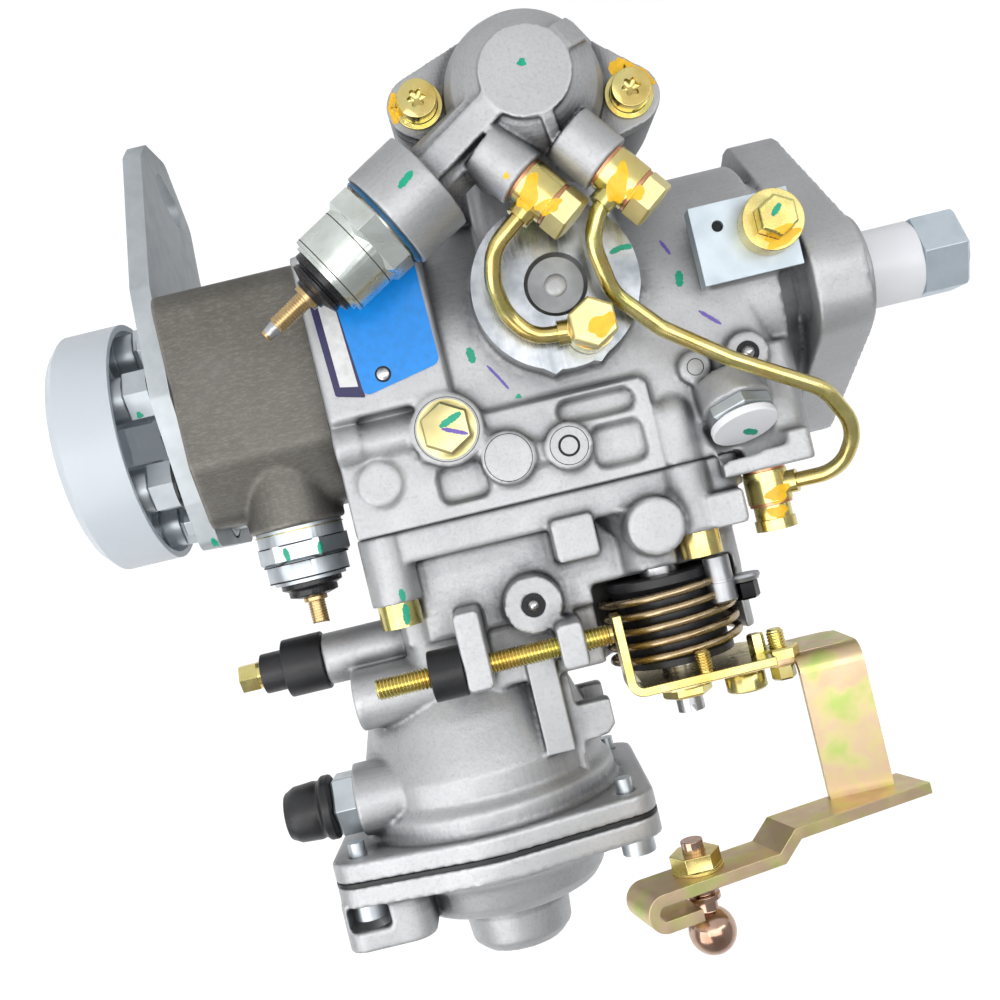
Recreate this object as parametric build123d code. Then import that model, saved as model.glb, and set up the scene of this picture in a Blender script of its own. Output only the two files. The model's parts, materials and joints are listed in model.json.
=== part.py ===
from build123d import *
import math
import os

# Rotary diesel injection pump with six outlets, boost compensator and cold start device

# Frame: origin at the centre of the mounting flange's engine face, +X along the drive shaft
# towards the delivery outlets, +Z up, -Y the side with the pipes. All sizes in millimetres.

# Clearances
running_fit = 0.03
press_gap = 0.02
free_gap = 0.4
seat_gap = 0.1
seal_gap = 0.1

# Drive end and mounting flange
pilot_radius = 19.0
pilot_length = 13.0
flange_thickness = 15.5
flange_hub_radius = 31.0
slot_circle_radius = 39.0
slot_width = 11.0
slot_length = 18.0
ear_radius = 13.5
ear_angles = (172.0, 292.0, 52.0)

# Drive shaft, nut and transport sleeve
shaft_radius = 10.0
shaft_tip_radius = 8.5
thread_radius = 8.0
taper_length = 18.0
thread_length = 17.0
nut_across = 24.0
nut_height = 14.5
sleeve_radius = 12.5
seal_radius = 15.5
seal_width = 7.0
bush_radius = 12.5
bush_width = 13.0
tang_width = 6.0
tang_half = 7.0

# Housing
wall = 6.0
drum_wall = 7.0
housing_end = 156.0
housing_half_width = 42.0
parting_height = 46.0
box_start = 26.0
box_corner = 8.0
drum_start = 22.0
bore_start = 30.0

# Features on the pipe side: places as (x, z), heights standing on the housing's side
ogive_x = 85.3
ogive_z = -10.0
ogive_radius = 23.4
ogive_height = 11.5
ogive_recess_radius = 8.8
ogive_recess_depth = 3.0
ogive_foot = ((60.0, -4.0), (70.4, 6.8), (78.0, 13.5), (84.4, 11.0), (91.0, 14.0), (104.0, 4.0))
plug_x = 123.8
plug_z = 21.3
plug_boss_radius = 10.5
plug_height = 5.0
plug_across = 13.0
pad_x = (120.0, housing_end)
pad_z = (-36.0, 12.3)
pad_height = 4.5
panel_x = (66.0, housing_end)
panel_z = (19.0, parting_height)
panel_height = 2.2
pocket_corner = 1.9
side_pockets = (
    (116.7, 128.9, 32.4, 41.0),
    (71.5, 91.5, 22.0, 26.6),
    (71.0, 84.0, 31.3, 41.2),
)
web_height = 3.6
web_outline = (
    (97.8, 31.4), (100.6, 30.1), (111.5, 25.6), (113.8, 22.3), (120.0, 15.6), (134.0, 28.1),
    (127.8, 30.8), (118.9, 30.5), (117.0, 32.8), (101.6, 36.8), (97.8, 36.8),
)
side_bosses = (
    (108.9, 33.0, 7.7, 5.0),
    (91.6, 33.7, 6.8, 5.0),
    (36.7, 19.9, 6.2, 4.0),
    (51.8, 20.4, 4.8, 3.0),
    (145.9, 31.8, 6.3, 3.4),
)
side_rib_z = 20.0
side_rib_radius = 6.3
side_rib_start = 131.0
column_bottom = 32.0

# Inlet, overflow union and the block that carries them
inlet_way = (-0.075, -0.42, 0.9045)
inlet_x = 43.1
inlet_z = 34.3
inlet_rise = 3.1
inlet_boss_radius = 10.0
inlet_across = 17.0
inlet_hex_height = 4.0
inlet_shank_length = 6.5
spot_face_radius = 11.4
spot_face_depth = 13.0
overflow_x = 36.8
overflow_y = -31.0
overflow_seat = 52.9
front_block_start = 24.7
front_block_height = 5.0
front_block_floor = 43.7
front_lip_end = 51.0

# Shaft lock plate on its boss
lock_x = 24.5
lock_z = -12.5
lock_boss_height = 8.0
lock_plate_x = (17.0, 45.0)
lock_plate_z = (-22.0, 0.0)
lock_sheet = 1.5
lock_rim_height = 5.0
lock_boss_x = (18.5, 42.5)
lock_boss_z = (-20.0, -1.0)
lock_bolt_radius = 4.0

# Supply pump
pump_width = 15.0
pump_ring_radius = 32.0
pump_chamber_radius = 24.0
pump_offset = 2.5
rotor_radius = 20.0
vane_width = 2.4
vane_count = 4
plate_thickness = 3.0

# Governor gears
gear_module = 1.25
drive_teeth = 36
governor_teeth = 24
gear_start = 50.0
gear_width = 8.0
pressure_angle = 20.0
backlash = 0.25
governor_pin_radius = 4.0
cage_radius = 14.0
cage_length = 18.0
weight_count = 4
governor_distance = gear_module * (drive_teeth + governor_teeth) / 2

# Roller ring, cam plate and plunger
ring_centre = 83.0
ring_width = 10.0
ring_radius = 29.0
ring_bore_radius = 14.0
roller_radius = 5.0
roller_length = 9.0
roller_track = 21.0
roller_angles = (0.0, 60.0, 180.0, 240.0)
cam_lift = 2.2
cam_radius = 27.0
cam_thickness = 7.0
lobe_count = 6
plunger_radius = 6.0

# Timing device across the housing
timer_x = 82.8
timer_z = -59.5
timer_bore_radius = 13.0
timer_wall = 7.0
timer_reach = 15.0
piston_length = 44.0
timer_pin_radius = 3.5
timer_flange = 5.0
dome_radius = 21.5
disc_radius = 12.0
dome_height = 24.0
bar_half_width = 3.8
rib_half_width = 1.7
rib_way = (-0.24, 0.0, 0.971)
housing_ear_screws = ((110.7, -63.3), (55.4, -53.1))
end_cover_screws = ((102.5, -72.0), (60.0, -44.0))
ear_boss_radius = 8.5
ear_screw_radius = 3.0
ear_screw_grip = 18.0
end_cover_thickness = 6.0

# Cold start solenoid on its arm, in the plane of the pump's side
arm_way = (0.864, 0.0, 0.504)
arm_height = 9.5
arm_boss = (34.5, 50.0)
arm_boss_radius = 14.5
solenoid_across = 24.0
solenoid_radius = 12.0
solenoid_length = 22.0
solenoid_shank_radius = 11.0
terminal_radius = 2.5

# Distributor head, support bracket and delivery valves
head_length = 43.0
head_half_width = 38.0
head_bottom = -37.0
head_top = 33.0
head_spigot_radius = 30.0
head_spigot_length = 8.0
bracket_thickness = 6.0
bracket_outline = (
    (-4, -89), (-32.5, -41), (-39, -7), (-29, 24), (-22, 38), (24, 38), (39, 18),
    (39, -56), (43, -75), (27, -95), (5, -95),
)
bracket_slot = (20.0, -80.0)
bracket_slot_turn = 25.0
bracket_slot_length = 22.0
bracket_slot_width = 11.0
bracket_bolt_circle = 31.0
bracket_bolt_radius = 2.5
bracket_bolt_length = 18.0
outlet_count = 6
outlet_circle = 27.7
outlet_phase = 36.4
holder_radius = 7.9
holder_across = 14.0
holder_length = 27.0
holder_shank_radius = 6.0
holder_shank_length = 15.0
union_end_radius = 5.6
cap_radius = 38.0
cap_gap = 12.0
cap_length = 20.0
cap_wall = 2.0

# Stop solenoid on the head
stop_distance = 19.0
stop_y = -21.0
stop_seat = 37.5
stop_boss_radius = 14.5
stop_shank_radius = 6.0
stop_shank_length = 12.0

# Governor cover
cover_flange = 9.5
cover_start = 44.0
cover_end = housing_end + 1.0
cover_half_width = 41.0
cover_wall = 5.0
cover_top = 98.0
cover_body = (48.0, housing_end - 4.0)
cover_body_half = 32.0
ledge_height = 80.0
ledge_step = 3.0
cover_screw_end = housing_end - 6.3
cover_screw_places = (
    (cover_screw_end, -35.5), (60.9, -37.5), (cover_screw_end, 35.5), (60.9, 37.5),
)
cover_screw_radius = 4.0
cover_column_radius = 7.4
screw_seat = 66.0
screw_grip = 30.0

# Stop screws
speed_screw_y = -46.0
speed_screw_z = 87.9
speed_screw_radius = 3.0
speed_screw = (92.0, 160.0)
speed_lugs = ((127.1, 134.7, 71.7), (99.9, 107.5, 81.3))
speed_lug_rise = 6.4
full_load_y = -10.0
full_load_z = 79.6
full_load_radius = 4.0
full_load_boss_end = housing_end + 22.0
full_load_end = full_load_boss_end + 23.0
blind_tube_y = -21.0
blind_tube_z = 93.0
blind_tube_radius = 9.2
blind_tube_end = 170.0
ball_plug_x = 111.7
ball_plug_z = 75.3

# Cast bosses on the cover's near side: (x, z, radius, reach) and (x, z, width, height, reach)
cover_round_bosses = ((ball_plug_x, ball_plug_z, 9.2, 22.0), (73.4, 61.2, 9.2, 30.0))
cover_blocks = ((95.9, 59.3, 14.0, 14.0, 26.0), (51.9, 61.2, 12.4, 11.6, 25.0))
cover_boss_root = 20.0
cover_rib_x = (109.3, 117.9)

# Boost compensator
boost_x = 138.5
boost_seam = 142.0
boost_rim_radius = 44.0
boost_rim_thickness = 6.0
boost_screw_circle = 50.0
boost_screw_angles = (-36.0, -144.0, 144.0, 36.0)
boost_ear_radius = 8.0
boost_screw_radius = 2.5
boost_head_radius = 5.0
boost_cover_rise = 22.0
boost_nose_rise = 16.6
boost_lobe_rise = 13.0
boost_lobe_width = 26.0
boost_port_drop = 19.4
boost_port_y = -19.0
bowl_depth = 24.0
bowl_radius = 33.0
bowl_wall = 5.0
diaphragm_thickness = 1.2
boost_pin_radius = 5.0
boost_plate_radius = 24.0

# Throttle lever
throttle_x = 73.0
throttle_y = -27.0
throttle_radius = 6.0
throttle_neck_radius = 4.0
spring_radius = 19.0
spring_wire = 1.2
spring_bottom = 77.5
spring_pitch = 4.2
spring_turns = 6
lever_sheet = 2.5
bend_radius = 4.5
bracket_tab_face = 91.6
bracket_near = -52.0
clamp_x = 57.0
clamp_y = -36.0
clamp_radius = 3.0
riser_x = (24.5, 43.0)
riser_y = -44.3
lever_arm_sheet = 3.2
lever_arm_height = 148.0
lever_arm_start = (26.0, -44.0)
lever_arm_end = (104.0, -66.0)
lever_arm_half_width = 8.0
lever_step = 5.0
fold_gap = 3.8
fold_return = 15.0
ball_radius = 6.5
ball_x = 85.3
ball_y = -59.0
ball_rise = 22.0
stud_radius = 3.05

# Pipes and banjo unions
pipe_radius = 2.25
pipe_bend = 14.0
eye_radius = 6.5
eye_height = 9.0
banjo_across = 12.0
banjo_radius = 4.0
washer_radius = 6.2
washer_thickness = 1.0
banjo_way = (-0.6, 0.0, 0.8)
banjo_places = ((85.6, -31.0), (64.0, -29.5))
return_place = (79.5, 4.5)

# Derived places
nose_end = -pilot_length
taper_end = nose_end - taper_length
shaft_tip = taper_end - thread_length
chamber_radius = housing_half_width - drum_wall
inner_half = housing_half_width - wall
ogive_face = -housing_half_width - ogive_height
plug_face = -housing_half_width - plug_height
pad_face = -housing_half_width - pad_height
panel_face = -housing_half_width - panel_height
lock_face = -housing_half_width - lock_boss_height
front_block_face = -housing_half_width - front_block_height
front_block_end = cover_start - 2 * free_gap
timer_face = housing_half_width + timer_reach
timer_outer = timer_bore_radius + timer_wall
head_end = housing_end + head_length
bracket_end = head_end + bracket_thickness
cap_start = bracket_end + cap_gap
cap_end = cap_start + cap_length
stop_x = housing_end + stop_distance
cover_base = parting_height
flange_top = cover_base + cover_flange
governor_z = governor_distance
cage_start = gear_start + gear_width
cam_start = ring_centre + ring_width / 2 + roller_radius + cam_lift + free_gap
lever_pivot_top = spring_bottom + spring_pitch * spring_turns
lever_seat = lever_pivot_top + 1.0
bowl_floor = boost_seam - bowl_depth
boost_seat = boost_seam + diaphragm_thickness
boost_top = boost_seam + boost_cover_rise
boost_nose_top = boost_top + boost_nose_rise
boost_port_x = boost_x + bowl_radius + bowl_wall
boost_port_z = boost_seam - boost_port_drop
ball_height = lever_arm_height + ball_rise
inlet_seat = (inlet_x, -housing_half_width - inlet_rise, inlet_z)
arm_y = -timer_face - arm_height
stop_top = stop_seat + 16.5
arm_end = arm_boss[1] + solenoid_length
banjo_y = -timer_face - 15.0
banjo_eyes = tuple((x, banjo_y, z) for x, z in banjo_places)
banjo_seat_drop = eye_height / 2 + washer_thickness
overflow_eye = (overflow_x, overflow_y, overflow_seat + banjo_seat_drop)
return_eye = (return_place[0], ogive_face - banjo_seat_drop, return_place[1])
timer_pipe_points = (
    (92.8, banjo_y, -25.6), (100.5, banjo_y + 1, -20.0), (102.6, banjo_y + 5, -12.0),
    (101.0, ogive_face - 8.0, -4.0), (95.0, ogive_face - 5.7, 3.6),
)
overflow_pipe_points = (
    (71.0, banjo_y, -24.25), (75.2, banjo_y + 2, -16.0), (72.0, ogive_face - 9.5, -2.5),
    (61.0, ogive_face - 5.5, 9.0), (44.0, ogive_face - 4.0, 21.5), (20.5, ogive_face - 0.5, 35.0),
    (12.8, overflow_y - 18, 47.5), (17.5, overflow_y - 9.5, overflow_eye[2]),
)

along_x = (1, 0, 0)
along_y = (0, 1, 0)
along_z = (0, 0, 1)
to_camera = (0, -1, 0)
grow_up = (Align.CENTER, Align.CENTER, Align.MIN)


# A shape drawn on its own +Z is set at a point and turned to a direction
def put(shape, at, toward=along_z, across=None):
    return Plane(origin=at, z_dir=toward, x_dir=across).location * shape


def rod(radius, length):
    return Cylinder(radius, length, align=(Align.CENTER, Align.CENTER, Align.MIN))


def rod_between(radius, start, end):
    axis = Vector(end) - Vector(start)
    return put(rod(radius, axis.length), start, tuple(axis))


def rod_x(radius, start, end, y=0.0, z=0.0):
    return put(rod(radius, end - start), (start, y, z), along_x)


def rod_y(radius, start, end, x=0.0, z=0.0):
    return put(rod(radius, end - start), (x, start, z), along_y)


def rod_z(radius, start, end, x=0.0, y=0.0):
    return put(rod(radius, end - start), (x, y, start))


def tube(outer, inner, length):
    return rod(outer, length) - rod(inner, length)


def hexagon(across, height):
    return extrude(RegularPolygon(across / 2, 6, major_radius=False), height)


# A hexagon with the bevelled outer edge of a nut or a bolt head
def hex_head(across, height):
    solid = hexagon(across, height)
    return chamfer(solid.edges().group_by(Axis.Z)[-1], across * 0.05)


def block(x_range, y_range, z_range, corner=0.0):
    width = x_range[1] - x_range[0]
    depth = y_range[1] - y_range[0]
    if corner:
        outline = RectangleRounded(width, depth, corner)
    else:
        outline = Rectangle(width, depth)
    centre = ((x_range[0] + x_range[1]) / 2, (y_range[0] + y_range[1]) / 2, z_range[0])
    return put(extrude(outline, z_range[1] - z_range[0]), centre)


# A turned piece from its outline of (radius, height) points
def turned(points):
    return revolve(Plane.XZ * make_face(Polyline(*points, close=True)), Axis.Z)


# The outline that a tight band round some circles would have, each (x, y, radius)
def band(circles):
    edges = []
    for x, y, radius in circles:
        edges += (Pos(x, y) * Circle(radius)).edges()
    return make_hull(edges)


def polar(radius, angle):
    return (radius * math.cos(math.radians(angle)), radius * math.sin(math.radians(angle)))


# Plane across the shaft: its x is the pump's Y and its y is the pump's Z
def across_shaft(x):
    return Plane(origin=(x, 0, 0), x_dir=along_y, z_dir=along_x)


# Plane along the pump's side: its x is the pump's X and its y is the pump's Z, facing -Y
def on_side(y):
    return Plane(origin=(0, y, 0), x_dir=along_x, z_dir=to_camera)


# The curved slots that let the pump turn on its studs for setting the timing
def flange_slots():
    swing = math.degrees((slot_length - slot_width) / slot_circle_radius)
    cutters = []
    for angle in ear_angles:
        path = CenterArc((0, 0), slot_circle_radius, angle - swing / 2, swing)
        slot = SlotArc(path, slot_width)
        cutters.append(across_shaft(-1) * extrude(slot, flange_thickness + 2))
    return cutters


def mounting_flange():
    circles = [(0, 0, flange_hub_radius)]
    swing = math.degrees((slot_length - slot_width) / slot_circle_radius) / 2
    for angle in ear_angles:
        for side in (-1, 1):
            y, z = polar(slot_circle_radius, angle + side * swing)
            circles.append((y, z, ear_radius))
    return across_shaft(0) * extrude(band(circles), flange_thickness)


# The outline of the machined pad round the blanked lever hole
def ogive_boss():
    disc = on_side(-wall) * extrude(Pos(ogive_x, ogive_z) * Circle(ogive_radius), -ogive_face - wall)
    foot = Polyline(*ogive_foot)
    outline = make_face(foot + Line(foot @ 1, foot @ 0))
    return disc + on_side(-wall) * extrude(outline, -ogive_face - wall)


def side_boss(x, z, radius, height, root=30.0):
    face = housing_half_width + height
    return on_side(-root) * extrude(Pos(x, z) * Circle(radius), face - root)


# Raised panel along the parting line, with its bosses, web, rib and cast pockets
def side_panel():
    root = housing_half_width - 2
    panel = block(panel_x, (panel_face, -root), panel_z, 0)
    panel = fillet(panel.edges().filter_by(Axis.Y).group_by(Axis.Z)[0], 3)
    web = make_face(Polyline(*web_outline, close=True))
    panel += on_side(-root) * extrude(web, housing_half_width + web_height - root)
    for x_start, x_end, z_start, z_end in side_pockets:
        outline = RectangleRounded(x_end - x_start, z_end - z_start, pocket_corner)
        centre = Pos((x_start + x_end) / 2, (z_start + z_end) / 2)
        panel -= on_side(-root - 0.5) * extrude(centre * outline, wall + web_height, taper=-20)
    rib_y = side_rib_radius - housing_half_width - 4.5
    panel += rod_x(side_rib_radius, side_rib_start, housing_end, rib_y, side_rib_z)
    return panel + rod_x(side_rib_radius + 0.9, housing_end - 7.5, housing_end, rib_y, side_rib_z - 0.8)


def inlet_block():
    root = -18.0
    body = block((drum_start, 54.0), (-housing_half_width, root), (18.0, parting_height), 6)
    tall = (front_block_floor, overflow_seat)
    body += block((front_block_start, front_block_end), (front_block_face, root), tall, 2)
    lip_back = -cover_half_width - free_gap
    body += block((front_block_end - 4, front_lip_end), (front_block_face, lip_back), tall)
    return body + rod_between(inlet_boss_radius, step_along(inlet_seat, inlet_way, -9), inlet_seat)


def housing_outside():
    body = rod_x(housing_half_width, drum_start, housing_end)
    neck_length = drum_start - flange_thickness + 8
    neck = Cone(flange_hub_radius, housing_half_width, neck_length, align=grow_up)
    chamber = block(
        (box_start, housing_end), (-housing_half_width, housing_half_width), (0, parting_height), box_corner
    )
    body += [put(neck, (flange_thickness - 4, 0, 0), along_x), chamber, mounting_flange()]
    body += rod_x(pilot_radius, -pilot_length, drum_start)
    body += rod_y(timer_outer, -timer_face + 0.5, timer_face - 0.5, timer_x, timer_z)
    carrier_half = housing_half_width - 4
    carrier_x = (timer_x - timer_outer, timer_x + timer_outer)
    body += block(carrier_x, (-carrier_half, carrier_half), (timer_z, 0), 6)
    body += ogive_boss()
    body += side_boss(plug_x, plug_z, plug_boss_radius, plug_height)
    body += block(pad_x, (pad_face, 0), pad_z, 2)
    body += side_panel()
    body += [side_boss(*place) for place in side_bosses]
    # Column round the near right cover screw
    x, y = cover_screw_places[1]
    body += rod_z(cover_column_radius, column_bottom, parting_height, x, y)
    body += Pos(x, y, column_bottom) * Sphere(cover_column_radius)
    return body


def timer_ears():
    ears = []
    for x, z in housing_ear_screws:
        inner = (timer_x + (x - timer_x) * 0.6, 0, timer_z * 0.75)
        ears.append(rod_between(ear_boss_radius, (x, -timer_face, z), (x, -timer_face + 24, z)))
        ears.append(rod_between(ear_boss_radius, (x, -timer_face + 24, z), inner))
    for x, z in end_cover_screws:
        ears.append(rod_between(ear_boss_radius, (x, timer_face, z), (x, timer_face - 20, z)))
    return ears


# Shaft bore, seal seat, supply pump seat, drive chamber and the room above it
def housing_chambers():
    bore = rod_x(bush_radius, -pilot_length - 1, bore_start)
    bore += rod_x(seal_radius, -pilot_length - 1, -pilot_length + seal_width + 1)
    bore += rod_x(pump_ring_radius, bore_start, gear_start)
    bore += rod_x(chamber_radius, gear_start - 2, housing_end + 1)
    room = block((gear_start - 2, housing_end - wall), (-inner_half, inner_half), (0, parting_height + 1), 4)
    for x, y in cover_screw_places:
        room -= rod_z(cover_column_radius + 0.6, parting_height - 22, parting_height + 2, x, y)
    return [bore, room]


def housing_screw_holes():
    ear_hole = ear_screw_radius + seal_gap
    depth = ear_screw_grip - 2
    holes = [rod_y(ear_hole, -timer_face - 1, -timer_face + depth, x, z) for x, z in housing_ear_screws]
    holes += [rod_y(ear_hole, timer_face - depth, timer_face + 1, x, z) for x, z in end_cover_screws]
    for x, y in cover_screw_places:
        holes.append(rod_z(cover_screw_radius + seal_gap, parting_height - 16, parting_height + 1, x, y))
    holes.append(rod_y(6.1, plug_face - 1, plug_face + 17, plug_x, plug_z))
    holes.append(rod_y(lock_bolt_radius + seal_gap, lock_face - 1, lock_face + 16, lock_x, lock_z))
    union_hole = banjo_radius + seal_gap
    holes.append(rod_y(union_hole, ogive_face - 1, ogive_face + 9, return_eye[0], return_eye[2]))
    holes.append(rod_z(union_hole, overflow_seat - 11, overflow_seat + 1, overflow_x, overflow_y))
    holes.append(rod_between(5.1, step_along(inlet_seat, inlet_way, -inlet_shank_length - 0.5), inlet_seat))
    return holes


def pump_housing():
    body = housing_outside()
    body += timer_ears()
    body += inlet_block()
    # Boss under the shaft lock plate
    body += block(lock_boss_x, (lock_face, -10.0), lock_boss_z, 0)
    body -= housing_chambers()
    # Land that carries the roller ring in the lower half of the chamber
    land_start = ring_centre - ring_width / 2 + 1
    land = tube(chamber_radius + 1, ring_radius + running_fit, ring_width - 2)
    lower = block((land_start - 1, land_start + ring_width), (-50, 50), (-50, 12))
    body += put(land, (land_start, 0, 0), along_x) & lower
    # Timing piston bore and the slot for its pin
    body -= rod_y(timer_bore_radius, -timer_face - 1, timer_face + 1, timer_x, timer_z)
    body -= block((timer_x - 7, timer_x + 7), (-8, 20), (timer_z, -ring_radius + 3), 2)
    # Governor pin hole in the front wall
    body -= rod_x(governor_pin_radius, gear_start - 12, gear_start, 0, governor_z)
    body -= flange_slots()
    body -= rod_between(spot_face_radius, inlet_seat, step_along(inlet_seat, inlet_way, spot_face_depth))
    recess = rod_y(ogive_recess_radius, ogive_face - 1, ogive_face + ogive_recess_depth, ogive_x, ogive_z)
    body -= recess - rod_y(3.5, ogive_face + 1, ogive_face + 4, ogive_x, ogive_z)
    return body - housing_screw_holes()


def rim_outline():
    circles = [(boost_x, 0, boost_rim_radius)]
    for x, y in boost_ears():
        circles.append((x, y, boost_ear_radius))
    return band(circles)


def boost_ears():
    ears = []
    for angle in boost_screw_angles:
        x, y = polar(boost_screw_circle, angle)
        ears.append((boost_x + x, y))
    return ears


# Bosses on the near edge of the cover: ball plug, lever stop, and two cast blocks
def cover_bosses():
    side = on_side(-cover_boss_root)
    bosses = []
    for x, z, radius, reach in cover_round_bosses:
        bosses.append(side * extrude(Pos(x, z) * Circle(radius), reach, taper=2))
    for x, z, width, height, reach in cover_blocks:
        outline = Pos(x, z) * RectangleRounded(width, height, 2.2)
        bosses.append(side * extrude(outline, reach, taper=2))
    return bosses


# Ribs and the plate that join the body to the bowl
def cover_ribs():
    rib = block(cover_rib_x, (-cover_body_half - 1, -16.0), (cover_top - 6, boost_seam - 22))
    plate = Polyline(
        (96.0, 108.8), (96.0, 117.0), (98.5, 119.8), (106.0, 120.5), (108.0, 134.0), (122.0, 134.0),
        (122.0, cover_top - 2), (106.5, cover_top - 2), (106.5, 108.8), close=True,
    )
    ribs = [rib]
    for y in (-18.0, 12.0):
        ribs.append(on_side(y) * extrude(make_face(plate), 6))
    return ribs


def bowl_outside():
    outer = bowl_radius + bowl_wall
    return put(turned((
        (0, cover_top - 12), (24, cover_top - 12), (29, cover_top - 4), (33, cover_top + 6),
        (outer - 1.5, boost_seam - 27), (outer, boost_seam - 22), (outer, boost_seam - 15),
        (outer + 2.5, boost_seam - 12), (outer + 2.5, boost_seam - 0.5), (0, boost_seam - 0.5),
    )), (boost_x, 0, 0))


# Room for the governor levers under the cover
def cover_room():
    inner = cover_body_half - cover_wall
    pocket = spring_radius + spring_wire + 1.3
    room = block((gear_start - 2, cover_body[1] - 10), (-inner, inner), (cover_base - 1, cover_top - 8), 6)
    room -= rod_z(12.0, cover_base - 2, cover_top, throttle_x, throttle_y)
    room -= rod_z(pocket + cover_wall, spring_bottom - 3 - cover_wall, cover_top, throttle_x, throttle_y)
    for x, y in cover_screw_places:
        room -= rod_z(11.0, cover_base - 2, screw_seat + 20, x, y)
    return room


def governor_cover():
    half = cover_half_width
    body = block((cover_start, cover_end), (-half, half), (cover_base, flange_top), 8)
    for x, y in cover_screw_places:
        body += rod_z(cover_column_radius, cover_base, screw_seat, x, y)
    body += block(cover_body, (-cover_body_half, cover_body_half), (flange_top - 1, ledge_height), 10)
    upper = cover_body_half - ledge_step
    body += block(cover_body, (-upper, upper), (ledge_height - 1, cover_top), 8)
    body += cover_bosses()
    # Bowl of the boost compensator and its rim
    body += bowl_outside()
    rim = extrude(rim_outline(), boost_rim_thickness)
    body += put(rim, (0, 0, boost_seam - boost_rim_thickness))
    # Lugs that carry the speed screw, the full load screw's tube and the blind tube
    for start, end, bottom in speed_lugs:
        lug = block((start, end), (speed_screw_y - 6.5, -20), (bottom, speed_screw_z + speed_lug_rise))
        body += fillet(lug.edges().filter_by(Axis.Y), 1.8)
    body += rod_x(full_load_radius * 2, 120, full_load_boss_end, full_load_y, full_load_z)
    body += rod_x(blind_tube_radius, 128, blind_tube_end, blind_tube_y, blind_tube_z)
    body += rod_x(11.0, boost_x, boost_port_x, boost_port_y, boost_port_z)
    # Lever shaft tower
    body += rod_z(12.0, flange_top, spring_bottom - 4, throttle_x, throttle_y)
    body += put(Cone(17, 12, 8, align=grow_up), (throttle_x, throttle_y, flange_top - 1))
    body += cover_ribs()

    pocket = spring_radius + spring_wire + 1.3
    body -= rod_z(pocket, spring_bottom - 3, cover_top + 1, throttle_x, throttle_y)
    body -= cover_room()
    body -= rod_z(bowl_radius, bowl_floor, boost_seam + 1, boost_x, 0)
    body -= rod_z(boost_pin_radius + running_fit, cover_top - 26, bowl_floor + 1, boost_x, 0)
    body -= rod_z(throttle_radius + running_fit, cover_base - 1, spring_bottom, throttle_x, throttle_y)
    bore_end = full_load_boss_end + 1
    body -= rod_x(full_load_radius + seal_gap, cover_body[1] - 13, bore_end, full_load_y, full_load_z)
    body -= rod_x(5.0, boost_port_x - 18, boost_port_x + 1, boost_port_y, boost_port_z)
    body -= rod_x(speed_screw_radius + seal_gap, 90, 140, speed_screw_y, speed_screw_z)
    body -= rod_y(3.1, -43, -34, ball_plug_x, ball_plug_z)
    for x, y in cover_screw_places:
        body -= rod_z(cover_screw_radius + seal_gap * 2, cover_base - 1, screw_seat + 1, x, y)
        body -= rod_z(cover_column_radius, screw_seat, screw_seat + 16, x, y)
    for x, y in boost_ears():
        body -= rod_z(boost_screw_radius + seal_gap, boost_seam - 12, boost_seam + 1, x, y)
    return body


def cover_screws():
    head_radius, head_height, key_across = 6.1, 7.0, 6.0
    screws = []
    for x, y in cover_screw_places:
        screw = rod(cover_screw_radius, screw_grip) + Pos(0, 0, screw_grip) * rod(head_radius, head_height)
        screw -= Pos(0, 0, screw_grip + head_height - 4) * hexagon(key_across, 5)
        screws.append(put(screw, (x, y, screw_seat - screw_grip)))
    return screws


def bracket_bolt_places():
    angles = [150 - outlet_phase - 60 * k for k in (0, 1, 3, 4)]
    return [polar(bracket_bolt_circle, angle) for angle in angles]


def outlet_places():
    angles = [180 - outlet_phase - 360 / outlet_count * k for k in range(outlet_count)]
    return [polar(outlet_circle, angle) for angle in angles]


def distributor_head():
    half = head_half_width
    outline = Polyline(
        (-half, head_bottom), (half, head_bottom), (half, 15), (half - 10, head_top),
        (-half + 10, head_top), (-half, 15), close=True,
    )
    profile = make_face(outline)
    profile = fillet(profile.vertices(), 6)
    body = across_shaft(housing_end) * extrude(profile, head_length)
    body += rod_x(head_spigot_radius, housing_end - head_spigot_length, housing_end)
    body += rod_z(stop_boss_radius, 0, stop_seat, stop_x, stop_y)
    body -= rod_x(plunger_radius + running_fit, housing_end - head_spigot_length - 1, head_end - 12)
    body -= rod_z(stop_shank_radius + seal_gap, stop_seat - 15.5, stop_seat + 1, stop_x, stop_y)
    for y, z in outlet_places():
        body -= rod_x(holder_shank_radius + seal_gap, head_end - holder_shank_length - 1, head_end + 1, y, z)
    body -= rod_x(7.1, head_end - 9, head_end + 1)
    for y, z in bracket_bolt_places():
        body -= rod_x(bracket_bolt_radius + seal_gap, head_end - 14, head_end + 1, y, z)
    return body


def support_bracket():
    plate = make_face(Polyline(*bracket_outline, close=True))
    plate = fillet(plate.vertices(), 5)
    body = across_shaft(head_end) * extrude(plate, bracket_thickness)
    slot = Rot(0, 0, bracket_slot_turn) * SlotOverall(bracket_slot_length, bracket_slot_width)
    body -= across_shaft(head_end - 1) * extrude(Pos(*bracket_slot) * slot, bracket_thickness + 2)
    for y, z in outlet_places():
        body -= rod_x(holder_radius + 0.7, head_end - 1, bracket_end + 1, y, z)
    body -= rod_x(9.4, head_end - 1, bracket_end + 1)
    for y, z in bracket_bolt_places():
        body -= rod_x(bracket_bolt_radius + 2 * seal_gap, head_end - 1, bracket_end + 1, y, z)
    return body


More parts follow.
